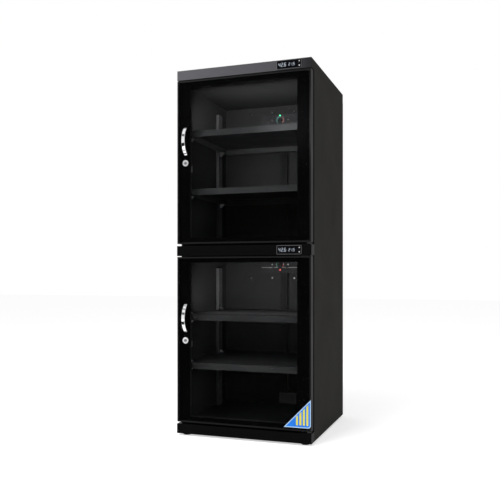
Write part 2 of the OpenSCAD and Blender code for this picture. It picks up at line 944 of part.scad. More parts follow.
module display_window() {
    translate([window_x, window_set - bezel_proud, 0])
        facing(window_t) rounded_rect(window_w - 2 * slip, window_h - 2 * slip, window_r);
}

module display_window_upper() color(window_dark) translate([display_x, front_y, header_mid]) display_window();

module display_window_lower() color(window_dark) translate([display_x, front_y, rail_mid]) display_window();

// The board closes the bezel from behind and carries the glass cell and the switches
module display_board() {
    cell_y = window_set + window_t + lcd_gap - bezel_proud;
    translate([0, bezel_back, 0])
        facing(board_t) rounded_rect(bezel_w - 2 * bezel_lap, bezel_h - 2 * bezel_lap, window_r);
    translate([window_x, cell_y, 0])
        facing(bezel_back - cell_y)
            rounded_rect(
                window_w - 2 * window_ledge - 2 * slip, window_h - 2 * window_ledge - 2 * slip, window_r
            );
    button_places()
        translate([0, bezel_wall + button_flange_t + button_travel + 2 * air, 0])
            facing(bezel_back - bezel_wall - button_flange_t - button_travel - 2 * air)
                rounded_rect(button_stem, button_stem, button_stem / 4);
}

module display_boards() color(board_green) {
    translate([display_x, front_y, header_mid]) display_board();
    translate([display_x, front_y, rail_mid]) display_board();
}

module button(s, z) {
    translate([display_x + button_x, front_y, z + s * button_rise]) {
        translate([0, -bezel_proud - button_proud, 0])
            facing(button_proud + bezel_proud + bezel_wall + air + button_flange_t)
                rounded_rect(button_w, button_h, button_r);
        translate([0, bezel_wall + air, 0])
            facing(button_flange_t)
                rounded_rect(button_w + 2 * button_flange, button_h + 2 * button_flange, button_r);
    }
}

module button_up_upper() color(print_white) button(1, header_mid);

module button_down_upper() color(print_white) button(-1, header_mid);

module button_up_lower() color(print_white) button(1, rail_mid);

module button_down_lower() color(print_white) button(-1, rail_mid);

// Doors, each between z0 and z1

module lock_height(z0, z1) {
    translate([lock_x, 0, (z0 + z1) / 2 - lock_drop]) children();
}

module handle_screw_places(z0, z1) {
    lock_height(z0, z1)
        for (s = [-1, 1])
            translate([0, 0, handle_rise + s * (handle_l / 2 - handle_screw_in)]) children();
}

// A side member: a steel tube with the glass lip on its outer edge and at both ends
module stile(z0, z1) {
    x0 = door_hw - stile_w;
    difference() {
        union() {
            block([x0, pane_back_y, z0], [door_hw, door_back_y, z1]);
            block([door_hw - rim_w, front_y, z0], [door_hw, door_back_y, z1]);
            block([x0, front_y, z0], [door_hw, door_back_y, z0 + rim_w]);
            block([x0, front_y, z1 - rim_w], [door_hw, door_back_y, z1]);
        }
        block(
            [x0 + frame_wall, pane_back_y + frame_wall, z0 - cut],
            [door_hw - frame_wall, door_back_y - frame_wall, z1 + cut]
        );
    }
}

// A top or bottom member between the side members; its outer edge is at zo, its inner edge at zi
module cross_member(zo, zi, lip) {
    x1 = door_hw - stile_w;
    lo = min(zo, zi);
    hi = max(zo, zi);
    difference() {
        union() {
            block([-x1, pane_back_y, lo], [x1, door_back_y, hi]);
            block([-x1, front_y, min(zo, zo + lip)], [x1, door_back_y, max(zo, zo + lip)]);
        }
        block(
            [-x1 - cut, pane_back_y + frame_wall, lo + frame_wall],
            [x1 + cut, door_back_y - frame_wall, hi - frame_wall]
        );
    }
}

module door_frame(z0, z1) {
    difference() {
        at_both_sides() stile(z0, z1);
        lock_height(z0, z1)
            translate([0, front_y, 0]) rod_y(barrel_r + barrel_fit, door_t + cut);
        handle_screw_places(z0, z1)
            translate([0, front_y, 0]) rod_y(handle_screw_r + screw_fit, door_t + cut);
    }
    cross_member(z0, z0 + cross_h, rim_w);
    cross_member(z1, z1 - cross_h, -rim_w);
}

module door_glass(z0, z1) {
    difference() {
        translate([0, glass_y, (z0 + z1) / 2])
            facing(glass_t)
                rounded_rect(2 * (door_hw - rim_w - air), z1 - z0 - 2 * (rim_w + air), glass_r);
        lock_height(z0, z1)
            translate([0, front_y - cut, 0]) rod_y(barrel_r + barrel_fit, glass_t + 2 * cut);
        handle_screw_places(z0, z1)
            translate([0, front_y - cut, 0]) rod_y(handle_screw_r + screw_fit, glass_t + 2 * cut);
    }
}

module seal_ring(hw, hh, w, y, l) {
    translate([0, y, 0]) difference() {
        facing(l) rounded_rect(2 * hw, 2 * hh, seal_r);
        translate([0, -cut, 0]) facing(l + 2 * cut) rounded_rect(2 * (hw - w), 2 * (hh - w), seal_r / 2);
    }
}

// The seal: a foot on the door, a narrow bellows neck and the head that meets the body
module door_seal(z0, z1) {
    hw = door_hw - seal_side_in;
    hh = (z1 - z0) / 2 - seal_end_in;
    neck_in = (seal_w - seal_neck_w) / 2;
    translate([0, 0, (z0 + z1) / 2]) {
        seal_ring(hw, hh, seal_w, door_back_y, seal_foot_h);
        seal_ring(hw - neck_in, hh - neck_in, seal_neck_w, door_back_y, seal_l);
        seal_ring(hw, hh, seal_w, door_back_y + seal_l - seal_head_h, seal_head_h);
    }
}

// Plugs in the open ends of the side members; those on the hinged side are the pivot bushes
module plug_body(z0, l) {
    block(
        [door_hw - stile_w + frame_wall + slip, pane_back_y + frame_wall + slip, z0],
        [door_hw - frame_wall - slip, door_back_y - frame_wall - slip, z0 + l]
    );
}

module pivot_bore(z, l) {
    translate([pivot_x, pivot_y, z]) cylinder(r = pin_r + run_fit, h = l);
}

module door_plugs(z0, z1) {
    collar_l = door_gap_bottom - hinge_plate_t - air;
    mirror([1, 0, 0]) {
        plug_body(z0, plug_l);
        plug_body(z1 - plug_l, plug_l);
    }
    difference() {
        plug_body(z1 - plug_l, plug_l);
        pivot_bore(z1 - plug_l - cut, plug_l + 2 * cut);
    }
    difference() {
        union() {
            plug_body(z0, plug_l);
            translate([pivot_x, pivot_y, z0 - collar_l]) cylinder(r = collar_r, h = collar_l);
        }
        pivot_bore(z0 - collar_l - cut, plug_l + collar_l + 2 * cut);
    }
}

// A plate on a fascia, with its pivot pin and countersunk holes; gap is the gap to the door
module hinge_plate(gap) {
    difference() {
        block([-plate_in, plate_front, 0], [plate_out, plate_front + plate_d, hinge_plate_t]);
        for (x = plate_screw_x)
            translate([x, plate_screw_back, 0]) {
                translate([0, 0, -cut]) cylinder(r = plate_screw_r + screw_fit, h = hinge_plate_t + 2 * cut);
                translate([0, 0, hinge_plate_t - plate_head_h])
                    cylinder(r1 = plate_screw_r + screw_fit, r2 = plate_head_r + screw_fit, h = plate_head_h);
            }
    }
    translate([0, pivot_back, hinge_plate_t / 2]) cylinder(r = pin_r, h = gap + pin_l - hinge_plate_t / 2);
}

module plate_screws() {
    for (x = plate_screw_x)
        translate([x, plate_screw_back, hinge_plate_t - plate_head_h]) {
            cylinder(r1 = plate_screw_r, r2 = plate_head_r, h = plate_head_h);
            translate([0, 0, plate_head_h - plate_screw_l])
                cylinder(r = plate_screw_r, h = plate_screw_l - plate_head_h);
        }
}

module under_fascias() {
    for (z = [lower_z1, upper_z1])
        translate([pivot_x, front_y, z]) mirror([0, 0, 1]) children();
}

module over_fascias() {
    for (z = [lower_z0, upper_z0])
        translate([pivot_x, front_y, z]) children();
}

module hinge_plates() color(frame_black) {
    under_fascias() hinge_plate(door_gap_top);
    over_fascias() hinge_plate(door_gap_bottom);
}

// Levels of the doors
lower_door_z0 = lower_z0 + door_gap_bottom;
lower_door_z1 = lower_z1 - door_gap_top;
upper_door_z0 = upper_z0 + door_gap_bottom;
upper_door_z1 = upper_z1 - door_gap_top;

module door_frame_lower() color(frame_black) door_frame(lower_door_z0, lower_door_z1);

module door_frame_upper() color(frame_black) door_frame(upper_door_z0, upper_door_z1);

module door_glass_lower() color(glass_tint) door_glass(lower_door_z0, lower_door_z1);

module door_glass_upper() color(glass_tint) door_glass(upper_door_z0, upper_door_z1);

module door_seal_lower() color(rubber_black) door_seal(lower_door_z0, lower_door_z1);

module door_seal_upper() color(rubber_black) door_seal(upper_door_z0, upper_door_z1);

module door_plugs_lower() color(plastic_black) door_plugs(lower_door_z0, lower_door_z1);

module door_plugs_upper() color(plastic_black) door_plugs(upper_door_z0, upper_door_z1);

// Handle: the origin is its middle on the glass
module bow_handle() {
    bow_y = bow_r - handle_proud;
    difference() {
        union() {
            intersection() {
                translate([0, bow_y, 0]) rotate([0, 90, 0]) rotate_extrude()
                    translate([bow_r - handle_t / 2, 0]) rounded_rect(handle_t, handle_w, band_edge_r);
                block([-handle_w, -handle_proud - cut, -handle_l], [handle_w, 0, handle_l]);
            }
            intersection() {
                translate([-handle_w / 2 + foot_pad_in, bow_y, 0]) rotate([0, 90, 0])
                    cylinder(r = bow_r - handle_t / 2, h = handle_w - 2 * foot_pad_in);
                for (s = [-1, 1])
                    translate([0, 0, s * (handle_l / 2 - foot_pad_end - foot_pad_l / 2)])
                        block([-handle_w, -handle_proud, -foot_pad_l / 2], [handle_w, 0, foot_pad_l / 2]);
            }
        }
        for (s = [-1, 1])
            translate([0, -handle_screw_bite, s * (handle_l / 2 - handle_screw_in)])
                rod_y(handle_screw_r + screw_fit, handle_screw_bite + cut);
    }
}

module handle(z0, z1) {
    lock_height(z0, z1) translate([0, glass_y, handle_rise]) bow_handle();
}

module handle_lower() color(chrome_silver) handle(lower_door_z0, lower_door_z1);

module handle_upper() color(chrome_silver) handle(upper_door_z0, upper_door_z1);

module handle_screws(z0, z1) {
    l = door_back_y - glass_y + handle_screw_bite - air;
    handle_screw_places(z0, z1)
        translate([0, door_back_y, 0]) mirror([0, 1, 0])
            screw_back(handle_head_r, handle_head_h, handle_screw_r, l);
}

module handle_screws_lower() color(zinc_silver) handle_screws(lower_door_z0, lower_door_z1);

module handle_screws_upper() color(zinc_silver) handle_screws(upper_door_z0, upper_door_z1);

// Lock: a barrel fixed in the door, the plug that a key turns in it, and the cam on the plug
module lock_barrel() {
    difference() {
        union() {
            translate([0, glass_y - face_t, 0]) rod_y(lock_face_r, face_t);
            translate([0, glass_y, 0]) rod_y(barrel_r, barrel_end_y - glass_y);
            translate([0, door_back_y, 0]) rod_y(nut_r, nut_t, $fn = 6);
        }
        translate([0, glass_y - face_t - cut, 0])
            rod_y(plug_r + run_fit, barrel_end_y - glass_y + face_t + 2 * cut);
        translate([0, glass_y - face_t - cut, 0]) rod_y(plug_r + face_step, face_edge + cut);
    }
}

module lock_barrel_lower() color(chrome_silver)
    lock_height(lower_door_z0, lower_door_z1) lock_barrel();

module lock_barrel_upper() color(chrome_silver)
    lock_height(upper_door_z0, upper_door_z1) lock_barrel();

module lock_plug() {
    plug_front = glass_y - face_t - plug_proud;
    difference() {
        union() {
            translate([0, plug_front, 0]) rod_y(plug_r, cam_y - plug_front);
            translate([0, cam_y - cut, 0]) rod_y(tail_r, cam_t + cut);
        }
        block(
            [-keyway_w / 2, plug_front - cut, -keyway_h / 2],
            [keyway_w / 2, plug_front + keyway_depth, keyway_h / 2]
        );
    }
}

module lock_plug_lower() color(chrome_silver)
    lock_height(lower_door_z0, lower_door_z1) lock_plug();

module lock_plug_upper() color(chrome_silver)
    lock_height(upper_door_z0, upper_door_z1) lock_plug();

// The cam hangs down when the door is free, and turns behind the body's flange to lock it
module lock_cam() {
    difference() {
        union() {
            translate([0, cam_y, 0]) rod_y(cam_boss_r, cam_t);
            block([-cam_w / 2, cam_y, -cam_l], [cam_w / 2, cam_y + cam_t, 0]);
        }
        translate([0, cam_y - cut, 0]) rod_y(tail_r + run_fit, cam_t + 2 * cut);
    }
    translate([0, cam_y + cam_t, 0]) difference() {
        rod_y(cam_screw_r, cam_screw_h);
        translate([0, cam_screw_h - drive_d, 0]) rod_y(drive_r, drive_d + cut, $fn = 6);
    }
}

module lock_cam_lower() color(zinc_silver)
    lock_height(lower_door_z0, lower_door_z1) lock_cam();

module lock_cam_upper() color(zinc_silver)
    lock_height(upper_door_z0, upper_door_z1) lock_cam();

// Fasteners of the body
module body_screws() color(zinc_silver) {
    at_both_sides() back_screw_z_list()
        translate([0, back_y, 0]) mirror([0, 1, 0])
            screw_back(screw_head_r, screw_head_h, screw_r, screw_l);
    for (x = liner_screw_x) {
        translate([x, liner_y, upper_knob_z + upper_screw_rise])
            screw_back(screw_head_r, screw_head_h, screw_r, screw_l);
        translate([x, liner_y, lower_knob_z - lower_screw_drop])
            screw_back(screw_head_r, screw_head_h, screw_r, screw_l);
    }
    for (z = [lower_knob_z, upper_knob_z], s = [-1, 1])
        translate([s * unit_screw_x, unit_y, z])
            screw_back(unit_head_r, unit_head_h, unit_screw_r, unit_d);
    under_fascias() plate_screws();
    over_fascias() plate_screws();
}

module feet() color(rubber_black) {
    foot_places() {
        cylinder(r1 = foot_r - foot_chamfer, r2 = foot_r, h = foot_chamfer);
        translate([0, 0, foot_chamfer]) cylinder(r = foot_r, h = foot_h - foot_chamfer);
        translate([0, 0, foot_h / 2]) cylinder(r = foot_stud_r, h = foot_h / 2 + foot_stud_l);
    }
}

top_cover();
ceiling_panel();
side_panel_left();
side_panel_right();
middle_rail();
upper_floor_panel();
lower_ceiling_panel();
base_plinth();
floor_panel();
back_liner_upper();
back_liner_lower();
back_panel();
rear_vents();
power_inlet();
inlet_prongs();
uprights();
shelf_1();
shelf_2();
shelf_3();
shelf_4();
shelf_clips();
wiring_ducts();
low_vent();
unit_case_upper();
unit_case_lower();
desiccant_boxes();
unit_knob_upper();
unit_knob_lower();
leds_green();
leds_red();
display_bezel_upper();
display_bezel_lower();
display_window_upper();
display_window_lower();
display_boards();
button_up_upper();
button_down_upper();
button_up_lower();
button_down_lower();
door_frame_upper();
door_frame_lower();
door_glass_upper();
door_glass_lower();
door_seal_upper();
door_seal_lower();
hinge_plates();
door_plugs_upper();
door_plugs_lower();
handle_upper();
handle_lower();
handle_screws_upper();
handle_screws_lower();
lock_barrel_upper();
lock_barrel_lower();
lock_plug_upper();
lock_plug_lower();
lock_cam_upper();
lock_cam_lower();
body_screws();
feet();
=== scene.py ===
import math

import bpy
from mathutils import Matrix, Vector


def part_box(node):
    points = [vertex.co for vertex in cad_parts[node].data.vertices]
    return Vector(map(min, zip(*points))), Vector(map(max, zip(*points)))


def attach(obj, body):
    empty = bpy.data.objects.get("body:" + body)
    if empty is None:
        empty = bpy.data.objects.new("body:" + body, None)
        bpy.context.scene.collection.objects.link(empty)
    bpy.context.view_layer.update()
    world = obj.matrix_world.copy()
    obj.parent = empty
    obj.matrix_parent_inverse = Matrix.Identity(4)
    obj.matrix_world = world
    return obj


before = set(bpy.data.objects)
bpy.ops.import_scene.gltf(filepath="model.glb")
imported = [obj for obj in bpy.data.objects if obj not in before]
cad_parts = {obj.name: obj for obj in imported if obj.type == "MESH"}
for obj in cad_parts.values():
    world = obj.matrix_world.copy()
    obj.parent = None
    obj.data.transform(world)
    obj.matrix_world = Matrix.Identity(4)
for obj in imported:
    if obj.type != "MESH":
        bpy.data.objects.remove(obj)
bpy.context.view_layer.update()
mm = 0.001  # metres


# Lowest and highest corner of a CAD node, in millimetres
def boxMm(node):
    low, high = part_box(node)
    return [c / mm for c in low], [c / mm for c in high]


# Materials. Sizes are in metres, and shares are parts of a look's own colour

edgeWidth = 0.0002
coatFinish = dict(fleckSize=3, fleckFrom=0.58, fleckTo=0.75, fleckShare=2.2, patchSize=2.5, dullness=0.06)
plasticFinish = dict(darkShare=0.85, lightShare=1.15, dullness=0.05)
metalFinish = dict(darkShare=0.86, lightShare=1.04)
glassFinish = dict(filmShare=0.97)
litFinish = dict(darkShare=0.75, roughness=0.3)
printFinish = dict(cloudSize=0.02, darkShare=0.9, dullness=0.1, grainSize=0.0012)
boardFinish = dict(trackFrom=0.03, trackTo=0.08, roughness=0.35, relief=0.00005)


def newMaterial(name):
    material = bpy.data.materials.new(name)
    material.use_nodes = True
    tree = material.node_tree
    return material, tree, tree.nodes["Principled BSDF"]


def link(tree, source, target):
    tree.links.new(source, target)


# Each of the two values is a number or another node's output
def mathNode(tree, operation, first, second):
    node = tree.nodes.new("ShaderNodeMath")
    node.operation = operation
    for socket, value in zip(node.inputs, (first, second)):
        if isinstance(value, (int, float)):
            socket.default_value = value
        else:
            link(tree, value, socket)
    return node.outputs[0]


# The point on the surface in the row frame, stretched where a grain runs one way
def objectPoint(tree, stretch=(1, 1, 1)):
    place = tree.nodes.new("ShaderNodeTexCoord")
    mapping = tree.nodes.new("ShaderNodeMapping")
    mapping.inputs["Scale"].default_value = stretch
    link(tree, place.outputs["Object"], mapping.inputs["Vector"])
    return mapping.outputs["Vector"]


# Noise whose features are about size metres across
def noise(tree, point, size, detail, roughness=0.55):
    node = tree.nodes.new("ShaderNodeTexNoise")
    node.inputs["Scale"].default_value = 1 / size
    node.inputs["Detail"].default_value = detail
    node.inputs["Roughness"].default_value = roughness
    link(tree, point, node.inputs["Vector"])
    return node.outputs["Fac"]


# A value between low and high, by default from the middle part of a noise
def spread(tree, value, low, high, fromLow=0.3, fromHigh=0.7):
    node = tree.nodes.new("ShaderNodeMapRange")
    node.inputs["From Min"].default_value = fromLow
    node.inputs["From Max"].default_value = fromHigh
    node.inputs["To Min"].default_value = low
    node.inputs["To Max"].default_value = high
    link(tree, value, node.inputs["Value"])
    return node.outputs["Result"]


def colourMix(tree, value, colourA, colourB):
    node = tree.nodes.new("ShaderNodeMix")
    node.data_type = "RGBA"
    link(tree, value, node.inputs["Factor"])
    for socket, colour in (("A", colourA), ("B", colourB)):
        target = [s for s in node.inputs if s.name == socket and s.type == "RGBA"][0]
        if isinstance(colour, tuple):
            target.default_value = (*colour, 1)
        else:
            link(tree, colour, target)
    return [s for s in node.outputs if s.type == "RGBA"][0]


# One value below an edge and another above it. The edge is in metres
def pastEdge(tree, value, edge, below=0, above=1):
    return spread(tree, value, below, above, edge - edgeWidth, edge + edgeWidth)


def scaled(colour, share):
    return tuple(min(c * share, 1) for c in colour)


# The surface's colour wanders between two shares of the look's own
def tinted(tree, shader, cloud, colour, darkShare, lightShare):
    mixed = colourMix(tree, spread(tree, cloud, 0, 1), scaled(colour, darkShare), scaled(colour, lightShare))
    link(tree, mixed, shader.inputs["Base Color"])


def roughened(tree, shader, cloud, low, high):
    link(tree, spread(tree, cloud, low, high), shader.inputs["Roughness"])


def bumped(tree, shader, height, distance):
    node = tree.nodes.new("ShaderNodeBump")
    node.inputs["Distance"].default_value = distance
    node.inputs["Strength"].default_value = 1
    link(tree, height, node.inputs["Height"])
    link(tree, node.outputs["Normal"], shader.inputs["Normal"])


# One on the faces of a side panel that look into the chambers, nought on those outside
def insideShare(tree, point, look):
    parts = tree.nodes.new("ShaderNodeSeparateXYZ")
    link(tree, point, parts.inputs["Vector"])
    distance = mathNode(tree, "ABSOLUTE", parts.outputs["X"], 0)
    within = pastEdge(tree, distance, look["insideX"], 1, 0)
    behind = pastEdge(tree, parts.outputs["Y"], look["insideY"])
    return mathNode(tree, "MULTIPLY", within, behind)


# Baked powder paint: fine orange peel, slight mottling, and duller handled patches
def powderCoat(name, look):
    material, tree, shader = newMaterial(name)
    point = objectPoint(tree)
    mottle = noise(tree, point, look["mottleSize"], detail=4)
    speck = noise(tree, point, look["grainSize"] * coatFinish["fleckSize"], detail=2)
    base = colourMix(
        tree, spread(tree, mottle, 0, 1),
        scaled(look["colour"], 1 - look["mottle"]), scaled(look["colour"], 1 + look["mottle"]),
    )
    flecks = spread(tree, speck, 0, look["fleck"], coatFinish["fleckFrom"], coatFinish["fleckTo"])
    flecked = colourMix(tree, flecks, base, scaled(look["colour"], coatFinish["fleckShare"]))
    if "insideColour" in look:
        flecked = colourMix(tree, insideShare(tree, point, look), flecked, look["insideColour"])
    link(tree, flecked, shader.inputs["Base Color"])
    dull = noise(tree, point, look["mottleSize"] * coatFinish["patchSize"], detail=3)
    dullness = coatFinish["dullness"]
    roughened(tree, shader, dull, look["roughness"] - dullness, look["roughness"] + dullness)
    shader.inputs["Specular IOR Level"].default_value = look["shine"]
    bumped(tree, shader, noise(tree, point, look["grainSize"], detail=2), look["peel"])
    return material


# The header's smooth front, painted lighter than its sides as a painted reflection of light from above and
# darker towards the hinge end as painted shade, on the sides' powder coat behind frontDepth
def headerCoat(name, look):
    material, tree, shader = newMaterial(name)
    point = objectPoint(tree)
    parts = tree.nodes.new("ShaderNodeSeparateXYZ")
    link(tree, point, parts.inputs["Vector"])
    streak = noise(tree, objectPoint(tree, look["brushed"]), look["streakSize"], detail=4)
    mottle = noise(tree, point, look["mottleSize"], detail=4)
    darkShare, lightShare = 1 - look["mottle"], 1 + look["mottle"]
    front = colourMix(
        tree, spread(tree, streak, 0, 1),
        scaled(look["litFrontColour"], darkShare), scaled(look["litFrontColour"], lightShare),
    )
    # painted shade: the front darkens towards the hinge end
    isEndShade = spread(tree, parts.outputs["X"], 0, 1, *look["endShadeSpan"])
    front = colourMix(tree, isEndShade, front, look["endShadeColour"])
    side = colourMix(
        tree, spread(tree, mottle, 0, 1),
        scaled(look["colour"], darkShare), scaled(look["colour"], lightShare),
    )
    isSide = pastEdge(tree, parts.outputs["Y"], look["frontDepth"])
    link(tree, colourMix(tree, isSide, front, side), shader.inputs["Base Color"])
    dullness = coatFinish["dullness"]
    roughened(tree, shader, mottle, look["roughness"] - dullness, look["roughness"] + dullness)
    shader.inputs["Specular IOR Level"].default_value = look["shine"]
    bumped(tree, shader, noise(tree, point, look["grainSize"], detail=2), look["peel"])
    return material


# Moulded plastic: a fine spark-eroded grain or a polished face, with slight flow marks
def plastic(name, look):
    material, tree, shader = newMaterial(name)
    point = objectPoint(tree)
    flow = noise(tree, point, look["flowSize"], detail=3)
    tinted(tree, shader, flow, look["colour"], plasticFinish["darkShare"], plasticFinish["lightShare"])
    dullness = plasticFinish["dullness"]
    roughened(tree, shader, flow, look["roughness"] - dullness, look["roughness"] + dullness)
    shader.inputs["Specular IOR Level"].default_value = look["shine"]
    bumped(tree, shader, noise(tree, point, look["grainSize"], detail=2), look["grain"])
    return material


# Plated or brushed metal, with its grain along one axis and faint handling marks
def metal(name, look):
    material, tree, shader = newMaterial(name)
    grain = noise(tree, objectPoint(tree, look["stretch"]), look["grainSize"], detail=4)
    marks = noise(tree, objectPoint(tree), look["marksSize"], detail=5)
    tinted(tree, shader, marks, look["colour"], metalFinish["darkShare"], metalFinish["lightShare"])
    shader.inputs["Metallic"].default_value = 1
    roughened(tree, shader, marks, look["roughness"], look["roughness"] + look["smudge"])
    bumped(tree, shader, grain, look["grain"])
    return material


# Float glass that lets lamplight through, with a faint film of dust
def clearGlass(name, look):
    material, tree, shader = newMaterial(name)
    point = objectPoint(tree)
    film = noise(tree, point, look["filmSize"], detail=4)
    tinted(tree, shader, film, look["tint"], glassFinish["filmShare"], 1)
    shader.inputs["Transmission Weight"].default_value = 1
    shader.inputs["Roughness"].default_value = 0
    shader.inputs["IOR"].default_value = look["ior"]
    output = tree.nodes["Material Output"]
    path = tree.nodes.new("ShaderNodeLightPath")
    through = tree.nodes.new("ShaderNodeBsdfTransparent")
    through.inputs["Color"].default_value = (*look["lampTint"], 1)
    mix = tree.nodes.new("ShaderNodeMixShader")
    link(tree, path.outputs["Is Shadow Ray"], mix.inputs["Fac"])
    link(tree, shader.outputs["BSDF"], mix.inputs[1])
    link(tree, through.outputs["BSDF"], mix.inputs[2])
    link(tree, mix.outputs["Shader"], output.inputs["Surface"])
    return material


# A lens or segment lit from behind, uneven as a moulded light guide is. The upper dial's arcs and the lower
# trim bead use it too, as painted light
def lit(name, look):
    material, tree, shader = newMaterial(name)
    point = objectPoint(tree)
    cloud = noise(tree, point, look["cloudSize"], detail=3)
    shader.inputs["Roughness"].default_value = litFinish["roughness"]
    dark = scaled(look["colour"], litFinish["darkShare"])
    colour = colourMix(tree, spread(tree, cloud, 0, 1), dark, look["colour"])
    link(tree, colour, shader.inputs["Base Color"])
    link(tree, colour, shader.inputs["Emission Color"])
    shader.inputs["Emission Strength"].default_value = look["strength"]
    return material


# Screen-printed or foil colour, laid on slightly unevenly
def printed(name, look):
    material, tree, shader = newMaterial(name)
    point = objectPoint(tree)
    cloud = noise(tree, point, printFinish["cloudSize"], detail=4)
    tinted(tree, shader, cloud, look["colour"], printFinish["darkShare"], 1)
    roughened(tree, shader, cloud, look["roughness"], look["roughness"] + printFinish["dullness"])
    shader.inputs["Specular IOR Level"].default_value = look["shine"]
    bumped(tree, shader, noise(tree, point, printFinish["grainSize"], detail=2), look["grain"])
    return material


# Green solder mask with the paler lines of copper tracks under it
def circuitBoard(name, look):
    material, tree, shader = newMaterial(name)
    point = objectPoint(tree)
    tracks = tree.nodes.new("ShaderNodeTexVoronoi")
    tracks.feature = "DISTANCE_TO_EDGE"
    tracks.inputs["Scale"].default_value = 1 / look["trackPitch"]
    link(tree, point, tracks.inputs["Vector"])
    edge = spread(tree, tracks.outputs["Distance"], 1, 0, boardFinish["trackFrom"], boardFinish["trackTo"])
    link(tree, colourMix(tree, edge, look["colour"], look["copper"]), shader.inputs["Base Color"])
    shader.inputs["Roughness"].default_value = boardFinish["roughness"]
    bumped(tree, shader, edge, boardFinish["relief"])
    return material


# The header front's colour is a painted reflection, far lighter than the same black paint on the rail; its
# end colour is painted shade
headerPaint = dict(
    colour=(0.0247, 0.0242, 0.0229), litFrontColour=(0.0585, 0.0575, 0.0625), frontDepth=-0.2912,
    endShadeColour=(0.019, 0.019, 0.0207), endShadeSpan=(0.19, 0.285),
    mottle=0.05, mottleSize=0.12, brushed=(0.12, 1, 1), streakSize=0.004, grainSize=0.0009,
    roughness=0.5, shine=0.002, peel=0.00002,
)
sidePaint = dict(
    colour=(0.0272, 0.0265, 0.0248), mottle=0.08, mottleSize=0.16, fleck=0.25, grainSize=0.0009,
    roughness=0.55, shine=0.002, peel=0.00003,
)
sideInside = dict(insideColour=(0.0125, 0.0125, 0.0124), insideX=0.2994, insideY=-0.262)
frontPaint = dict(
    colour=(0.0024, 0.0024, 0.0025), mottle=0.12, mottleSize=0.1, fleck=0.2, grainSize=0.0008,
    roughness=0.34, shine=0.02, peel=0.000015,
)
doorPaint = dict(
    colour=(0.010, 0.010, 0.0102), mottle=0.1, mottleSize=0.1, fleck=0.25, grainSize=0.0008,
    roughness=0.42, shine=0.03, peel=0.00002,
)
innerPaint = dict(
    colour=(0.0088, 0.0088, 0.0089), mottle=0.1, mottleSize=0.14, fleck=0.2, grainSize=0.001,
    roughness=0.5, shine=0.01, peel=0.00002,
)
ductPaint = dict(innerPaint, colour=(0.0045, 0.0045, 0.0046), shine=0.05)
uprightPaint = dict(
    colour=(0.030, 0.030, 0.031), mottle=0.1, mottleSize=0.06, fleck=0.2, grainSize=0.001,
    roughness=0.4, shine=0.08, peel=0.00002,
)
shelfPaint = dict(
    colour=(0.021, 0.021, 0.0215), mottle=0.1, mottleSize=0.09, fleck=0.25, grainSize=0.001,
    roughness=0.45, shine=0.03, peel=0.00002,
)
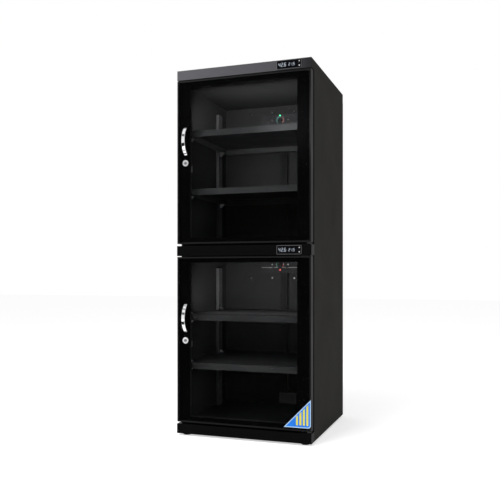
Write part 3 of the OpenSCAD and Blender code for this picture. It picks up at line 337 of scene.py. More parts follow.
lookTable = {
    "shellBlack": (powderCoat, sidePaint),
    "sideBlack": (powderCoat, {**sidePaint, **sideInside}),
    "headerGrey": (headerCoat, headerPaint),
    "frontBlack": (powderCoat, frontPaint),
    "doorBlack": (powderCoat, doorPaint),
    "innerGrey": (powderCoat, innerPaint),
    "ductGrey": (powderCoat, ductPaint),
    "uprightGrey": (powderCoat, uprightPaint),
    "shelfGrey": (powderCoat, shelfPaint),
    "doorGlass": (clearGlass, dict(
        tint=(0.97, 0.98, 0.98), ior=1.045, filmSize=0.2, lampTint=(0.9, 0.92, 0.92),
    )),
    "glassPrint": (printed, dict(colour=(0.0012, 0.0012, 0.0013), roughness=0.3, shine=0.0, grain=0)),
    "sealRubber": (plastic, dict(
        colour=(0.02, 0.02, 0.02), flowSize=0.03, roughness=0.75, shine=0.2, grainSize=0.0012, grain=0.00004,
    )),
    "footRubber": (plastic, dict(
        colour=(0.018, 0.018, 0.018), flowSize=0.02, roughness=0.8, shine=0.2,
        grainSize=0.0014, grain=0.00006,
    )),
    "blackPlastic": (plastic, dict(
        colour=(0.022, 0.022, 0.023), flowSize=0.04, roughness=0.55, shine=0.3,
        grainSize=0.0009, grain=0.00004,
    )),
    "unitPlastic": (plastic, dict(
        colour=(0.009, 0.009, 0.0095), flowSize=0.05, roughness=0.5, shine=0.05,
        grainSize=0.0009, grain=0.00004,
    )),
    "knobPlastic": (plastic, dict(
        colour=(0.006, 0.006, 0.006), flowSize=0.01, roughness=0.4, shine=0.08,
        grainSize=0.0006, grain=0.00002,
    )),
    "casePlastic": (plastic, dict(
        colour=(0.6, 0.6, 0.57), flowSize=0.05, roughness=0.5, shine=0.4, grainSize=0.001, grain=0.00004,
    )),
    "glossPlastic": (plastic, dict(
        colour=(0.003, 0.003, 0.0034), flowSize=0.04, roughness=0.16, shine=0.04,
        grainSize=0.002, grain=0.000004,
    )),
    "displayFilter": (plastic, dict(
        colour=(0.002, 0.002, 0.003), flowSize=0.05, roughness=0.1, shine=0.02,
        grainSize=0.004, grain=0.000002,
    )),
    "circuitGreen": (circuitBoard, dict(
        colour=(0.015, 0.11, 0.045), copper=(0.05, 0.25, 0.1), trackPitch=0.006,
    )),
    "handleChrome": (metal, dict(
        colour=(0.86, 0.86, 0.87), stretch=(1, 1, 1), grainSize=0.004, marksSize=0.02,
        roughness=0.06, smudge=0.06, grain=0.000004,
    )),
    "lockChrome": (metal, dict(
        colour=(0.74, 0.74, 0.75), stretch=(1, 1, 1), grainSize=0.002, marksSize=0.008,
        roughness=0.2, smudge=0.08, grain=0.000008,
    )),
    "plugSteel": (metal, dict(
        colour=(0.3, 0.3, 0.31), stretch=(1, 1, 1), grainSize=0.002, marksSize=0.006,
        roughness=0.25, smudge=0.1, grain=0.00001,
    )),
    "blackSteel": (metal, dict(
        colour=(0.012, 0.012, 0.012), stretch=(1, 1, 1), grainSize=0.003, marksSize=0.01,
        roughness=0.45, smudge=0.1, grain=0.00002,
    )),
    "zincSteel": (metal, dict(
        colour=(0.62, 0.63, 0.64), stretch=(1, 1, 6), grainSize=0.004, marksSize=0.01,
        roughness=0.34, smudge=0.1, grain=0.00002,
    )),
    "greenLens": (lit, dict(colour=(0.05, 0.95, 0.35), cloudSize=0.002, strength=2.5)),
    "redLens": (lit, dict(colour=(0.95, 0.08, 0.07), cloudSize=0.002, strength=2.0)),
    "segmentLight": (lit, dict(colour=(0.36, 0.40, 0.46), cloudSize=0.01, strength=0.45)),
    # the lower trim bead's glow is a painted highlight of a raised bead, not a lamp
    "beadHighlight": (lit, dict(colour=(0.16, 0.16, 0.155), cloudSize=0.01, strength=0.4)),
    "barUnlit": (printed, dict(colour=(0.02, 0.02, 0.02), roughness=0.4, shine=0.1, grain=0.00001)),
    # lighter metal for the bezel ring, a painted highlight of the bevel, partly real reflection of the
    # studio
    "bezelHighlight": (metal, dict(
        colour=(0.24, 0.24, 0.25), stretch=(1, 1, 1), grainSize=0.003, marksSize=0.01,
        roughness=0.3, smudge=0.1, grain=0.000006,
    )),
    # the upper ring's arcs: glowing copies of the printed ones, painted light
    "greenArcGlow": (lit, dict(colour=(0.03, 0.2, 0.18), cloudSize=0.006, strength=0.35)),
    "redArcGlow": (lit, dict(colour=(0.2, 0.045, 0.04), cloudSize=0.006, strength=0.35)),
    "greenPrint": (printed, dict(colour=(0.02, 0.09, 0.05), roughness=0.5, shine=0.2, grain=0.00001)),
    "redPrint": (printed, dict(colour=(0.1, 0.015, 0.012), roughness=0.5, shine=0.2, grain=0.00001)),
    "markWhite": (lit, dict(colour=(0.75, 0.76, 0.78), cloudSize=0.01, strength=0.35)),
    "whitePrint": (printed, dict(colour=(0.6, 0.6, 0.62), roughness=0.45, shine=0.2, grain=0.00001)),
    "foilWhite": (printed, dict(colour=(0.42, 0.60, 0.82), roughness=0.4, shine=0.2, grain=0.00001)),
    "foilBlue": (printed, dict(colour=(0.014, 0.19, 0.72), roughness=0.4, shine=0.2, grain=0.00001)),
    "foilYellow": (printed, dict(colour=(0.75, 0.66, 0.06), roughness=0.4, shine=0.2, grain=0.00001)),
}
looks = {name: build(name, look) for name, (build, look) in lookTable.items()}
nodeLooks = {
    "shellBlack": ["back_panel"],
    "sideBlack": ["side_panel_left", "side_panel_right"],
    "headerGrey": ["top_cover"],
    "frontBlack": ["middle_rail", "base_plinth"],
    "doorBlack": ["door_frame_upper", "door_frame_lower"],
    "innerGrey": [
        "ceiling_panel", "upper_floor_panel", "lower_ceiling_panel", "floor_panel",
        "back_liner_upper", "back_liner_lower",
    ],
    "ductGrey": ["wiring_ducts"],
    "uprightGrey": ["uprights"],
    "shelfGrey": ["shelf_1", "shelf_2", "shelf_3", "shelf_4"],
    "doorGlass": ["door_glass_upper", "door_glass_lower"],
    "sealRubber": ["door_seal_upper", "door_seal_lower"],
    "footRubber": ["feet"],
    "blackPlastic": [
        "rear_vents", "power_inlet", "low_vent", "door_plugs_upper", "door_plugs_lower",
    ],
    "unitPlastic": ["unit_case_upper", "unit_case_lower"],
    "knobPlastic": ["unit_knob_upper", "unit_knob_lower"],
    "casePlastic": ["desiccant_boxes"],
    "glossPlastic": [
        "display_bezel_upper", "display_bezel_lower",
        "button_up_upper", "button_down_upper", "button_up_lower", "button_down_lower",
    ],
    "displayFilter": ["display_window_upper", "display_window_lower"],
    "circuitGreen": ["display_boards"],
    "handleChrome": ["handle_upper", "handle_lower"],
    "lockChrome": ["lock_barrel_upper", "lock_barrel_lower"],
    "plugSteel": ["lock_plug_upper", "lock_plug_lower"],
    "zincSteel": [
        "shelf_clips", "inlet_prongs", "handle_screws_upper", "handle_screws_lower",
        "lock_cam_upper", "lock_cam_lower", "body_screws",
    ],
    "blackSteel": ["hinge_plates"],
    "greenLens": ["leds_green"],
    "redLens": ["leds_red"],
}
dressed = set()
for look, nodes in nodeLooks.items():
    for node in nodes:
        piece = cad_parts[node]
        piece.data.materials.clear()
        piece.data.materials.append(looks[look])
        dressed.add(node)
print("materials on", len(dressed), "nodes; without one:", sorted(set(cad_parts) - dressed))


# Shapes cut from sheet. Outlines are (x, z) in millimetres, anticlockwise seen from the front

# One piece from closed outlines, each pulled between two depths
def sheetShapes(name, shapes, front, back, look):
    points, faces = [], []
    for outline in shapes:
        count, start = len(outline), len(points)
        points += [(x * mm, front * mm, z * mm) for x, z in outline]
        points += [(x * mm, back * mm, z * mm) for x, z in outline]
        faces.append(tuple(start + i for i in range(count)))
        faces.append(tuple(start + count + i for i in reversed(range(count))))
        for i in range(count):
            j = (i + 1) % count
            faces.append((start + i, start + count + i, start + count + j, start + j))
    return newPiece(name, points, faces, look)


# A flat ring between two outlines with the same number of points
def ringShape(name, outer, inner, front, back, look):
    count = len(outer)
    points = []
    for depth in (front, back):
        for outline in (outer, inner):
            points += [(x * mm, depth * mm, z * mm) for x, z in outline]
    faces = []
    for i in range(count):
        j = (i + 1) % count
        faces.append((i, j, count + j, count + i))
        faces.append((2 * count + i, 3 * count + i, 3 * count + j, 2 * count + j))
        faces.append((i, 2 * count + i, 2 * count + j, j))
        faces.append((count + i, count + j, 3 * count + j, 3 * count + i))
    return newPiece(name, points, faces, look)


def newPiece(name, points, faces, look):
    mesh = bpy.data.meshes.new(name)
    mesh.from_pydata(points, [], faces)
    mesh.validate()
    mesh.update()
    mesh.materials.append(looks[look])
    piece = bpy.data.objects.new(name, mesh)
    bpy.context.scene.collection.objects.link(piece)
    return piece


# A rectangle with rounded corners, starting at its lower right corner
def roundedOutline(x0, x1, z0, z1, radius, steps=8):
    outline = []
    for cx, cz, first in (
        (x1 - radius, z0 + radius, -90), (x1 - radius, z1 - radius, 0),
        (x0 + radius, z1 - radius, 90), (x0 + radius, z0 + radius, 180),
    ):
        for step in range(steps + 1):
            turn = math.radians(first + 90 * step / steps)
            outline.append((cx + radius * math.cos(turn), cz + radius * math.sin(turn)))
    return outline


# The front view of a box, drawn in by inset on all sides
def insetOutline(low, high, inset, radius):
    return roundedOutline(low[0] + inset, high[0] - inset, low[2] + inset, high[2] - inset, radius)


# Part of a flat ring between two angles in degrees, anticlockwise from +X
def arcOutline(cx, cz, inner, outer, first, last, steps=18):
    turns = [math.radians(first + (last - first) * i / steps) for i in range(steps + 1)]
    outside = [(cx + outer * math.cos(t), cz + outer * math.sin(t)) for t in turns]
    inside = [(cx + inner * math.cos(t), cz + inner * math.sin(t)) for t in reversed(turns)]
    return outside + inside


# Geometry Nodes, for what repeats. A tree has named inputs, whose values come from a piece's dictionary

def newTree(name, inputs):
    tree = bpy.data.node_groups.new(name, "GeometryNodeTree")
    for label, kind in inputs.items():
        tree.interface.new_socket(label, in_out="INPUT", socket_type=kind)
    tree.interface.new_socket("Geometry", in_out="OUTPUT", socket_type="NodeSocketGeometry")
    return tree, tree.nodes.new("NodeGroupInput"), tree.nodes.new("NodeGroupOutput")


def vectorNode(tree, x=0, y=0, z=0):
    node = tree.nodes.new("ShaderNodeCombineXYZ")
    for socket, value in zip(node.inputs, (x, y, z)):
        if isinstance(value, (int, float)):
            socket.default_value = value
        else:
            link(tree, value, socket)
    return node.outputs[0]


# One bar of a size on each point, turned by rotation where there is one
def barsOnPoints(tree, points, size, rotation=None):
    bar = tree.nodes.new("GeometryNodeMeshCube")
    link(tree, size, bar.inputs["Size"])
    onPoints = tree.nodes.new("GeometryNodeInstanceOnPoints")
    link(tree, points, onPoints.inputs["Points"])
    link(tree, bar.outputs["Mesh"], onPoints.inputs["Instance"])
    if rotation is not None:
        link(tree, rotation, onPoints.inputs["Rotation"])
    return onPoints.outputs["Instances"]


# As many points as count in a straight row along x or z, pitch apart, about a middle at depth
def pointRow(tree, count, pitch, axis, depth=0):
    row = tree.nodes.new("GeometryNodeMeshLine")
    last = mathNode(tree, "SUBTRACT", count, 1)
    start = mathNode(tree, "MULTIPLY", mathNode(tree, "MULTIPLY", last, -0.5), pitch)
    link(tree, count, row.inputs["Count"])
    link(tree, vectorNode(tree, y=depth, **{axis: start}), row.inputs["Start Location"])
    link(tree, vectorNode(tree, **{axis: pitch}), row.inputs["Offset"])
    return row.outputs["Mesh"]


# Rows of bars become one mesh, moved to Centre and given their material
def endTree(tree, inputs, outputs, rows, look):
    join = tree.nodes.new("GeometryNodeJoinGeometry")
    for bars in rows:
        link(tree, bars, join.inputs["Geometry"])
    realize = tree.nodes.new("GeometryNodeRealizeInstances")
    link(tree, join.outputs["Geometry"], realize.inputs["Geometry"])
    place = tree.nodes.new("GeometryNodeSetPosition")
    link(tree, realize.outputs["Geometry"], place.inputs["Geometry"])
    link(tree, inputs.outputs["Centre"], place.inputs["Offset"])
    material = tree.nodes.new("GeometryNodeSetMaterial")
    material.inputs["Material"].default_value = looks[look]
    link(tree, place.outputs["Geometry"], material.inputs["Geometry"])
    link(tree, material.outputs["Geometry"], outputs.inputs["Geometry"])


# Places along the sweep go from -0.5 to 0.5, and those nearer the middle than this have no bar
middleShare = 0.01


# Marks round a dial: Count bars over Sweep, with the middle one left out for the lamp above
def dialTree(look):
    tree, inputs, outputs = newTree("dialMarks", {
        "Count": "NodeSocketInt", "Sweep": "NodeSocketFloat", "Radius": "NodeSocketFloat",
        "Length": "NodeSocketFloat", "Width": "NodeSocketFloat", "Thickness": "NodeSocketFloat",
        "Centre": "NodeSocketVector",
    })
    index = tree.nodes.new("GeometryNodeInputIndex").outputs[0]
    last = mathNode(tree, "SUBTRACT", inputs.outputs["Count"], 1)
    share = mathNode(tree, "SUBTRACT", mathNode(tree, "DIVIDE", index, last), 0.5)
    turn = mathNode(tree, "MULTIPLY", share, inputs.outputs["Sweep"])
    x = mathNode(tree, "MULTIPLY", mathNode(tree, "SINE", turn, 0), inputs.outputs["Radius"])
    z = mathNode(tree, "MULTIPLY", mathNode(tree, "COSINE", turn, 0), inputs.outputs["Radius"])
    points = tree.nodes.new("GeometryNodePoints")
    link(tree, inputs.outputs["Count"], points.inputs["Count"])
    link(tree, vectorNode(tree, x, 0, z), points.inputs["Position"])
    keep = tree.nodes.new("GeometryNodeDeleteGeometry")
    keep.domain = "POINT"
    isMiddle = mathNode(tree, "LESS_THAN", mathNode(tree, "ABSOLUTE", share, 0), middleShare)
    link(tree, isMiddle, keep.inputs["Selection"])
    spin = tree.nodes.new("GeometryNodeStoreNamedAttribute")
    spin.data_type = "FLOAT_VECTOR"
    spin.domain = "POINT"
    spin.inputs["Name"].default_value = "spin"
    link(tree, points.outputs["Points"], spin.inputs["Geometry"])
    link(tree, vectorNode(tree, 0, turn, 0), spin.inputs["Value"])
    link(tree, spin.outputs["Geometry"], keep.inputs["Geometry"])
    read = tree.nodes.new("GeometryNodeInputNamedAttribute")
    read.data_type = "FLOAT_VECTOR"
    read.inputs["Name"].default_value = "spin"
    size = vectorNode(tree, inputs.outputs["Width"], inputs.outputs["Thickness"], inputs.outputs["Length"])
    marks = barsOnPoints(tree, keep.outputs["Geometry"], size, read.outputs["Attribute"])
    endTree(tree, inputs, outputs, [marks], look)
    return tree


# A column of tilted blades, as behind a louvred cover
def bladeTree(look):
    tree, inputs, outputs = newTree("bladeColumn", {
        "Count": "NodeSocketInt", "Pitch": "NodeSocketFloat", "Length": "NodeSocketFloat",
        "Depth": "NodeSocketFloat", "Thickness": "NodeSocketFloat", "Tilt": "NodeSocketFloat",
        "Centre": "NodeSocketVector",
    })
    column = pointRow(tree, inputs.outputs["Count"], inputs.outputs["Pitch"], "z")
    size = vectorNode(tree, inputs.outputs["Length"], inputs.outputs["Depth"], inputs.outputs["Thickness"])
    tilt = vectorNode(tree, inputs.outputs["Tilt"], 0, 0)
    endTree(tree, inputs, outputs, [barsOnPoints(tree, column, size, tilt)], look)
    return tree


# Wire gauze: upright wires in front of level ones, which they touch
def gauzeTree(look):
    tree, inputs, outputs = newTree("wireGauze", {
        "Width": "NodeSocketFloat", "Height": "NodeSocketFloat", "Columns": "NodeSocketInt",
        "Rows": "NodeSocketInt", "Wire": "NodeSocketFloat", "Centre": "NodeSocketVector",
    })
    given = inputs.outputs
    columnPitch = mathNode(tree, "DIVIDE", given["Width"], mathNode(tree, "SUBTRACT", given["Columns"], 1))
    rowPitch = mathNode(tree, "DIVIDE", given["Height"], mathNode(tree, "SUBTRACT", given["Rows"], 1))
    uprightWires = barsOnPoints(
        tree, pointRow(tree, given["Columns"], columnPitch, "x"),
        vectorNode(tree, given["Wire"], given["Wire"], given["Height"]),
    )
    levelWires = barsOnPoints(
        tree, pointRow(tree, given["Rows"], rowPitch, "z", given["Wire"]),
        vectorNode(tree, given["Width"], given["Wire"], given["Wire"]),
    )
    endTree(tree, inputs, outputs, [uprightWires, levelWires], look)
    return tree


# Runs a tree with its inputs and keeps the result as a plain mesh
def fromTree(name, tree, values):
    holder = bpy.data.objects.new(name, bpy.data.meshes.new(f"{name}_seed"))
    bpy.context.scene.collection.objects.link(holder)
    modifier = holder.modifiers.new("shape", "NODES")
    modifier.node_group = tree
    for item in tree.interface.items_tree:
        if item.in_out == "INPUT":
            modifier[item.identifier] = values[item.name]
    graph = bpy.context.evaluated_depsgraph_get()
    mesh = bpy.data.meshes.new_from_object(holder.evaluated_get(graph))
    holder.modifiers.clear()
    holder.data = mesh
    mesh.name = name
    return holder


# The black border is printed on the inner face of each door's glass

border = dict(
    clearSide=239, clearHeights={"upper": (852, 1502), "lower": (83, 747)},
    corner=3, edge=0.4, inset=0.02, thickness=0.1,
)
for level, heights in border["clearHeights"].items():
    low, high = boxMm(f"door_glass_{level}")
    back = high[1] - border["inset"]
    ring = ringShape(
        f"glass_print_{level}",
        insetOutline(low, high, border["edge"], border["corner"]),
        roundedOutline(-border["clearSide"], border["clearSide"], *heights, border["corner"]),
        back - border["thickness"], back, "glassPrint",
    )
    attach(ring, f"door_{level}")
print("glass borders done")


# Readings of the two displays as seven-segment figures, a lighter metal ring on each frame as a painted
# highlight of its bevel, and the buttons' arrows

display = dict(
    readings=("42.6", "21.5"), digitW=8.2, digitH=15.5, bar=1.7, gap=0.3, pitch=11.4,
    between=7.0, smaller=0.8, slant=0.08, proud=0.12, pointGap=0.6, margin=2.8,
)
bezelHighlightRing = dict(inset=0.2, width=1.1, corner=3.8)
buttonMark = dict(half=2.7, foot=2.0, tip=2.6)
segmentTable = {
    "0": "abcdef", "1": "bc", "2": "abged", "3": "abgcd", "4": "fgbc", "5": "afgcd",
    "6": "afgedc", "7": "abc", "8": "abcdefg", "9": "abcdfg",
}


# Outlines of the lit bars of one figure, with its lower left corner at (x, z)
def segmentBars(x, z, w, h, bar, gap, letters):
    half, mid = bar / 2, h / 2
    across = {"a": h - half, "g": mid, "d": half}
    upright = {"f": (half, mid, h - half), "b": (w - half, mid, h - half),
               "e": (half, half, mid), "c": (w - half, half, mid)}
    bars = []
    for letter in letters:
        if letter in across:
            c, x0, x1 = across[letter], half + gap, w - half - gap
            shape = [(x0, c), (x0 + half, c - half), (x1 - half, c - half),
                     (x1, c), (x1 - half, c + half), (x0 + half, c + half)]
        else:
            c, z0, z1 = upright[letter]
            z0, z1 = z0 + gap, z1 - gap
            shape = [(c, z0), (c + half, z0 + half), (c + half, z1 - half),
                     (c, z1), (c - half, z1 - half), (c - half, z0 + half)]
        bars.append([(x + px, z + pz) for px, pz in shape])
    return bars


# Outlines of one reading from its left end at x, centred at height middle, and where it ends
def readingShapes(reading, x, middle, share):
    w, h, bar = (display[key] * share for key in ("digitW", "digitH", "bar"))
    pointGap = (display["pitch"] - display["digitW"]) * share * display["pointGap"]
    z = middle - h / 2
    shapes = []
    for figure in reading:
        if figure == ".":
            x -= pointGap
            shapes.append([(x, z), (x + bar, z), (x + bar, z + bar), (x, z + bar)])
            x += bar + pointGap
        else:
            shapes += segmentBars(x, z, w, h, bar, display["gap"], segmentTable[figure])
            x += display["pitch"] * share
    return shapes, x


proud = display["proud"]
for level in ("upper", "lower"):
    low, high = boxMm(f"display_window_{level}")
    middle = (low[2] + high[2]) / 2
    shapes, x = [], low[0] + display["margin"]
    for reading, share in zip(display["readings"], (1, display["smaller"])):
        more, x = readingShapes(reading, x, middle, share)
        shapes += more
        x += display["between"]
    shapes = [[(px + display["slant"] * (pz - middle), pz) for px, pz in shape] for shape in shapes]
    figures = sheetShapes(f"display_figures_{level}", shapes, low[1] - proud, low[1], "segmentLight")
    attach(figures, "cabinet")

    # a lighter metal ring round each bezel's face stands in for the light its bevel catches: a painted
    # highlight
    low, high = boxMm(f"display_bezel_{level}")
    inset, width, radius = bezelHighlightRing["inset"], bezelHighlightRing["width"], bezelHighlightRing["corner"]
    trim = ringShape(
        f"bezel_highlight_ring_{level}",
        insetOutline(low, high, inset, radius), insetOutline(low, high, inset + width, radius - width),
        low[1] - proud, low[1], "bezelHighlight",
    )
    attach(trim, "cabinet")

    for way, sign in (("up", 1), ("down", -1)):
        low, high = boxMm(f"button_{way}_{level}")
        cx, cz = (low[0] + high[0]) / 2, (low[2] + high[2]) / 2
        foot, tip = cz - sign * buttonMark["foot"], cz + sign * buttonMark["tip"]
        arrow = [(cx - buttonMark["half"], foot), (cx + buttonMark["half"], foot), (cx, tip)]
        if sign < 0:
            arrow.reverse()
        mark = sheetShapes(f"button_mark_{way}_{level}", [arrow], low[1] - proud, low[1], "markWhite")
        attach(mark, f"{way}_button_{level}")
print("displays done")


# Dial print, scale and raised trim beads of the two drying units; the upper ring and the lower bead glow as
# painted light

dial = dict(
    inner=16.2, outer=17.8, proud=0.15, ticks=13, tickMiddle=20.6, tickLength=2.2, tickW=0.8, sweep=270,
    beadProud=1.0, beadDrop=15, beadHalf=0.7, beadEnd=0.4, beadRound=0.5,
)
barShares = ((-0.48, -0.2), (-0.15, -0.05), (0.05, 0.15), (0.2, 0.48))
arcSpans = {"left": (70, 225), "right": (-45, 66)}
# the upper unit's printed ring and the lower one's trim bead glow, as painted light; the rest is plain print
dialLooks = {
    "upper": dict(left="greenArcGlow", right="redArcGlow", bars="barUnlit"),
    "lower": dict(left="greenPrint", right="redPrint", bars="beadHighlight"),
}
dialMarks = dialTree("whitePrint")
for level in ("upper", "lower"):
    knobLow, knobHigh = boxMm(f"unit_knob_{level}")
    caseLow, caseHigh = boxMm(f"unit_case_{level}")
    cx, cz = (knobLow[0] + knobHigh[0]) / 2, (knobLow[2] + knobHigh[2]) / 2
    face = caseLow[1] + dial["beadProud"]
    for side, span in arcSpans.items():
        arc = sheetShapes(
            f"dial_arc_{side}_{level}", [arcOutline(cx, cz, dial["inner"], dial["outer"], *span)],
            face - dial["proud"], face, dialLooks[level][side],
        )
        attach(arc, "cabinet")
    scale = fromTree(f"dial_scale_{level}", dialMarks, {
        "Count": dial["ticks"], "Sweep": math.radians(dial["sweep"]), "Radius": dial["tickMiddle"] * mm,
        "Length": dial["tickLength"] * mm, "Width": dial["tickW"] * mm, "Thickness": dial["proud"] * mm,
        "Centre": (cx * mm, (face - dial["proud"] / 2) * mm, cz * mm),
    })
    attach(scale, "cabinet")
    width = caseHigh[0] - caseLow[0]
    # a raised bead under each dial; the lower one's glow is a painted highlight
    bars = [
        roundedOutline(
            cx + a * width + dial["beadEnd"], cx + b * width - dial["beadEnd"],
            cz - dial["beadDrop"] - dial["beadHalf"], cz - dial["beadDrop"] + dial["beadHalf"],
            dial["beadRound"], steps=3,
        )
        for a, b in barShares
    ]
    beadStrip = sheetShapes(
        f"trim_beads_{level}", bars, caseLow[1] - dial["proud"], caseLow[1], dialLooks[level]["bars"]
    )
    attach(beadStrip, "cabinet")
print("drying units done")


# Tilted blades behind the slots of the two rear vents, and gauze inside the low vent

blades = dict(count=7, pitch=9, length=150, depth=5, thickness=0.8, tilt=40, behindFace=5.4, coverHeight=80)
ventLow, ventHigh = boxMm("rear_vents")
halfCover = blades["coverHeight"] / 2
bladeColumn = bladeTree("blackPlastic")
for level, z in (("upper", ventHigh[2] - halfCover), ("lower", ventLow[2] + halfCover)):
    column = fromTree(f"vent_blades_{level}", bladeColumn, {
        "Count": blades["count"], "Pitch": blades["pitch"] * mm, "Length": blades["length"] * mm,
        "Depth": blades["depth"] * mm, "Thickness": blades["thickness"] * mm,
        "Tilt": math.radians(blades["tilt"]),
        "Centre": ((ventLow[0] + ventHigh[0]) / 2 * mm, (ventHigh[1] - blades["behindFace"]) * mm, z * mm),
    })
    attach(column, "cabinet")

gauze = dict(edge=2.6, behindFace=2.8, pitch=2.6, wire=0.4)
low, high = boxMm("low_vent")
width = high[0] - low[0] - 2 * gauze["edge"]
height = high[2] - low[2] - 2 * gauze["edge"]
net = fromTree("low_vent_gauze", gauzeTree("blackSteel"), {
    "Width": width * mm, "Height": height * mm, "Columns": round(width / gauze["pitch"]) + 1,
    "Rows": round(height / gauze["pitch"]) + 1, "Wire": gauze["wire"] * mm,
    "Centre": (
        (low[0] + high[0]) / 2 * mm, (low[1] + gauze["behindFace"]) * mm, (low[2] + high[2]) / 2 * mm,
    ),
})
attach(net, "cabinet")
print("vents done")


# A plain corner sticker on the lower door: blue, with a pale edge and four rising bars

sticker = dict(
    left=183, right=297.4, bottom=72, top=188, corner=12, edge=3.6, thickness=0.35,
    bars=4, barW=8, barStep=14.5, barLow=7, barInset=7, barLift=5, barProud=0.1,
)


# A triangle whose right angle, at the lower right, is rounded
def cornerOutline(left, right, bottom, top, radius, steps=8):
    cx, cz = right - radius, bottom + radius
    turns = [math.radians(-90 + 90 * step / steps) for step in range(steps + 1)]
    rounded = [(cx + radius * math.cos(turn), cz + radius * math.sin(turn)) for turn in turns]
    return [(left, bottom), *rounded, (right, top)]


rimFront = boxMm("door_frame_lower")[0][1]
glassFront = boxMm("door_glass_lower")[0][1]
slope = math.atan2(sticker["top"] - sticker["bottom"], sticker["right"] - sticker["left"])
outer = cornerOutline(*(sticker[side] for side in ("left", "right", "bottom", "top", "corner")))
inner = cornerOutline(
    sticker["left"] + sticker["edge"] / math.tan(slope / 2), sticker["right"] - sticker["edge"],
    sticker["bottom"] + sticker["edge"],
    sticker["top"] - sticker["edge"] / math.tan((math.pi / 2 - slope) / 2),
    sticker["corner"] - sticker["edge"],
)
front = rimFront - sticker["thickness"]
edge = ringShape("sticker_edge", outer, inner, front, glassFront, "foilWhite")
field = sheetShapes("sticker_field", [inner], front, glassFront, "foilBlue")
bars = []
for i in range(sticker["bars"]):
    x1 = inner[-1][0] - sticker["barInset"] - i * sticker["barStep"]
    x0 = x1 - sticker["barW"]
    low = inner[0][1] + sticker["barLow"]
    high = inner[0][1] + (x0 - inner[0][0]) * math.tan(slope) - sticker["barLift"]
    bars.append([(x0, low), (x1, low), (x1, high + sticker["barW"] * math.tan(slope)), (x0, high)])
rising = sheetShapes("sticker_bars", bars, front - sticker["barProud"], front, "foilYellow")
for piece in (edge, field, rising):
    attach(piece, "door_lower")
print("sticker done")


# Camera at the photo's place, found from its vertical and receding edges

view = dict(
    place=(0.98092, -2.86201, 0.69965), turn=18.794, lens=47.36, sensor=36, shift=(-0.032, 0.0465),
)
camera = bpy.data.objects.new("camera", bpy.data.cameras.new("camera"))
camera.location = view["place"]
camera.rotation_euler = (math.pi / 2, 0, math.radians(view["turn"]))
camera.data.sensor_width = view["sensor"]
camera.data.lens = view["lens"]
camera.data.shift_x, camera.data.shift_y = view["shift"]
bpy.context.scene.collection.objects.link(camera)
bpy.context.scene.camera = camera
bpy.context.scene.view_settings.view_transform = "Standard"


# Studio: a white floor and world, and three soft lamps outside. Small ones light the header, the edges
# of the upper shelves and both chambers, where the real one's glass shows reflections

studio = dict(ambient=0.55, floorColour=0.85, floorGlow=0.5, floorSize=30, floorRoughness=0.9)
lamps = {
    "key": dict(
        place=(-1.6, -4.2, 2.6), target=(0, 0, 0.9), size=(2.2, 2.2), power=95, spread=180,
    ),
    "topLight": dict(
        place=(-0.6, -1.2, 3.6), target=(0, -0.1, 0.9), size=(1.8, 1.8), power=36, spread=180,
    ),
    "sideLight": dict(
        place=(3.0, -2.4, 0.8), target=(0.3, 0, 0.6), size=(2.0, 2.0), power=38, spread=180,
    ),
    "headerLight": dict(
        place=(-0.75, -1.0, 1.9), target=(-0.3, -0.292, 1.55), size=(0.3, 0.3), power=1.2, spread=60,
    ),
    "lipLight": dict(
        place=(0.2, -0.6, 1.28), target=(0.2, -0.25, 1.3), size=(0.1, 0.1), power=0.6, spread=60,
    ),
    "upperTopFill": dict(
        place=(0, -0.2, 1.36), target=(0, 0.26, 1.5), size=(0.5, 0.1), power=4.0, spread=120,
    ),
    "upperMidFill": dict(
        place=(0, -0.2, 1.18), target=(0, 0.26, 1.17), size=(0.5, 0.1), power=0.68, spread=64,
    ),
    "lowerTopFill": dict(
        place=(0, -0.2, 0.56), target=(0, 0.26, 0.72), size=(0.5, 0.1), power=3.3, spread=120,
    ),
    "lowerMidFill": dict(
        place=(0, -0.2, 0.35), target=(0, 0.26, 0.44), size=(0.5, 0.08), power=0.12, spread=100,
    ),
}


# seen is what the camera, mirrors and glass show, and plain is what lights the object
def rayMix(tree, plain, seen, output):
    path = tree.nodes.new("ShaderNodeLightPath")
    isSeen = path.outputs["Is Camera Ray"]
    for ray in ("Is Glossy Ray", "Is Transmission Ray"):
        isSeen = mathNode(tree, "MAXIMUM", isSeen, path.outputs[ray])
    mix = tree.nodes.new("ShaderNodeMixShader")
    link(tree, isSeen, mix.inputs["Fac"])
    link(tree, plain, mix.inputs[1])
    link(tree, seen, mix.inputs[2])
    link(tree, mix.outputs["Shader"], output.inputs["Surface"])


# A matt grey or white for the studio's own pieces
def mattMaterial(name, grey, roughness):
    material, tree, shader = newMaterial(name)
    shader.inputs["Base Color"].default_value = (grey, grey, grey, 1)
    shader.inputs["Roughness"].default_value = roughness
    shader.inputs["Specular IOR Level"].default_value = 0
    return material, tree, shader


# A flat four-cornered piece for the studio
def flatSheet(name, corners, material):
    mesh = bpy.data.meshes.new(name)
    mesh.from_pydata(corners, [], [(0, 1, 2, 3)])
    mesh.materials.append(material)
    sheet = bpy.data.objects.new(name, mesh)
    bpy.context.scene.collection.objects.link(sheet)
    return sheet


world = bpy.data.worlds.new("studio")
world.use_nodes = True
bpy.context.scene.world = world
tree = world.node_tree
tree.nodes.clear()
worldOut = tree.nodes.new("ShaderNodeOutputWorld")
ambient = tree.nodes.new("ShaderNodeBackground")
ambient.inputs["Color"].default_value = (1, 1, 1, 1)
ambient.inputs["Strength"].default_value = studio["ambient"]
white = tree.nodes.new("ShaderNodeBackground")
white.inputs["Color"].default_value = (1, 1, 1, 1)
white.inputs["Strength"].default_value = 1
rayMix(tree, ambient.outputs["Background"], white.outputs["Background"], worldOut)

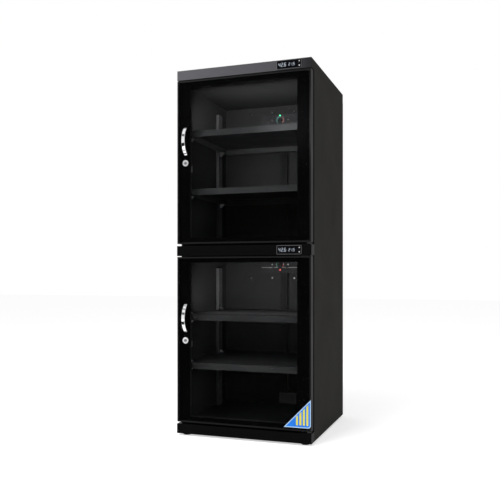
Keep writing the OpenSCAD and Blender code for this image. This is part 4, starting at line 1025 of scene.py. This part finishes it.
floorMaterial, tree, shader = mattMaterial("floorWhite", studio["floorColour"], studio["floorRoughness"])
glow = tree.nodes.new("ShaderNodeEmission")
glow.inputs["Strength"].default_value = studio["floorGlow"]
both = tree.nodes.new("ShaderNodeAddShader")
link(tree, shader.outputs["BSDF"], both.inputs[0])
link(tree, glow.outputs["Emission"], both.inputs[1])
rayMix(tree, shader.outputs["BSDF"], both.outputs["Shader"], tree.nodes["Material Output"])
half = studio["floorSize"] / 2
corners = [(-half, -half, 0), (half, -half, 0), (half, half, 0), (-half, half, 0)]
floor = flatSheet("floor", corners, floorMaterial)

# Cards that only metal shows: a black one and a grey one for each bow handle's dark bands
cards = dict(distance=0.5, across=3.4, handleX=-0.259, front=-0.3, bowRadius=0.0794)
cardKinds = {
    "black": dict(tilt=-13.6, height=0.17, grey=0.02),
    "grey": dict(tilt=15, height=0.12, grey=0.3),
}
handleHeights = {"upper": 1.268, "lower": 0.506}
for kind, level in [(k, h) for k in cardKinds for h in handleHeights]:
    card, z = cardKinds[kind], handleHeights[level]
    tilt = math.radians(card["tilt"])
    normal = Vector((0, -math.cos(tilt), math.sin(tilt)))
    spot = Vector((cards["handleX"], cards["front"], z + cards["bowRadius"] * math.sin(tilt)))
    seenFrom = (Vector(view["place"]) - spot).normalized()
    mirrored = 2 * seenFrom.dot(normal) * normal - seenFrom
    middle = spot + cards["distance"] * mirrored
    across = Vector((0, 0, 1)).cross(mirrored).normalized() * cards["across"] / 2
    upwards = mirrored.cross(across).normalized() * card["height"] / 2
    cardMaterial = mattMaterial(f"card_{kind}", card["grey"], 1)[0]
    piece = flatSheet(
        f"card_{kind}_{level}",
        [
            middle + across + upwards, middle - across + upwards,
            middle - across - upwards, middle + across - upwards,
        ],
        cardMaterial,
    )
    piece.visible_camera = piece.visible_diffuse = piece.visible_shadow = piece.visible_transmission = False

for name, lamp in lamps.items():
    light = bpy.data.lights.new(name, "AREA")
    light.shape = "RECTANGLE"
    light.size, light.size_y = lamp["size"]
    light.energy = lamp["power"]
    light.spread = math.radians(lamp["spread"])
    holder = bpy.data.objects.new(name, light)
    holder.location = lamp["place"]
    aim = Vector(lamp["target"]) - Vector(lamp["place"])
    holder.rotation_euler = aim.to_track_quat("-Z", "Y").to_euler()
    holder.visible_camera = False
    holder.visible_glossy = False
    holder.visible_transmission = False
    bpy.context.scene.collection.objects.link(holder)
print("studio done")
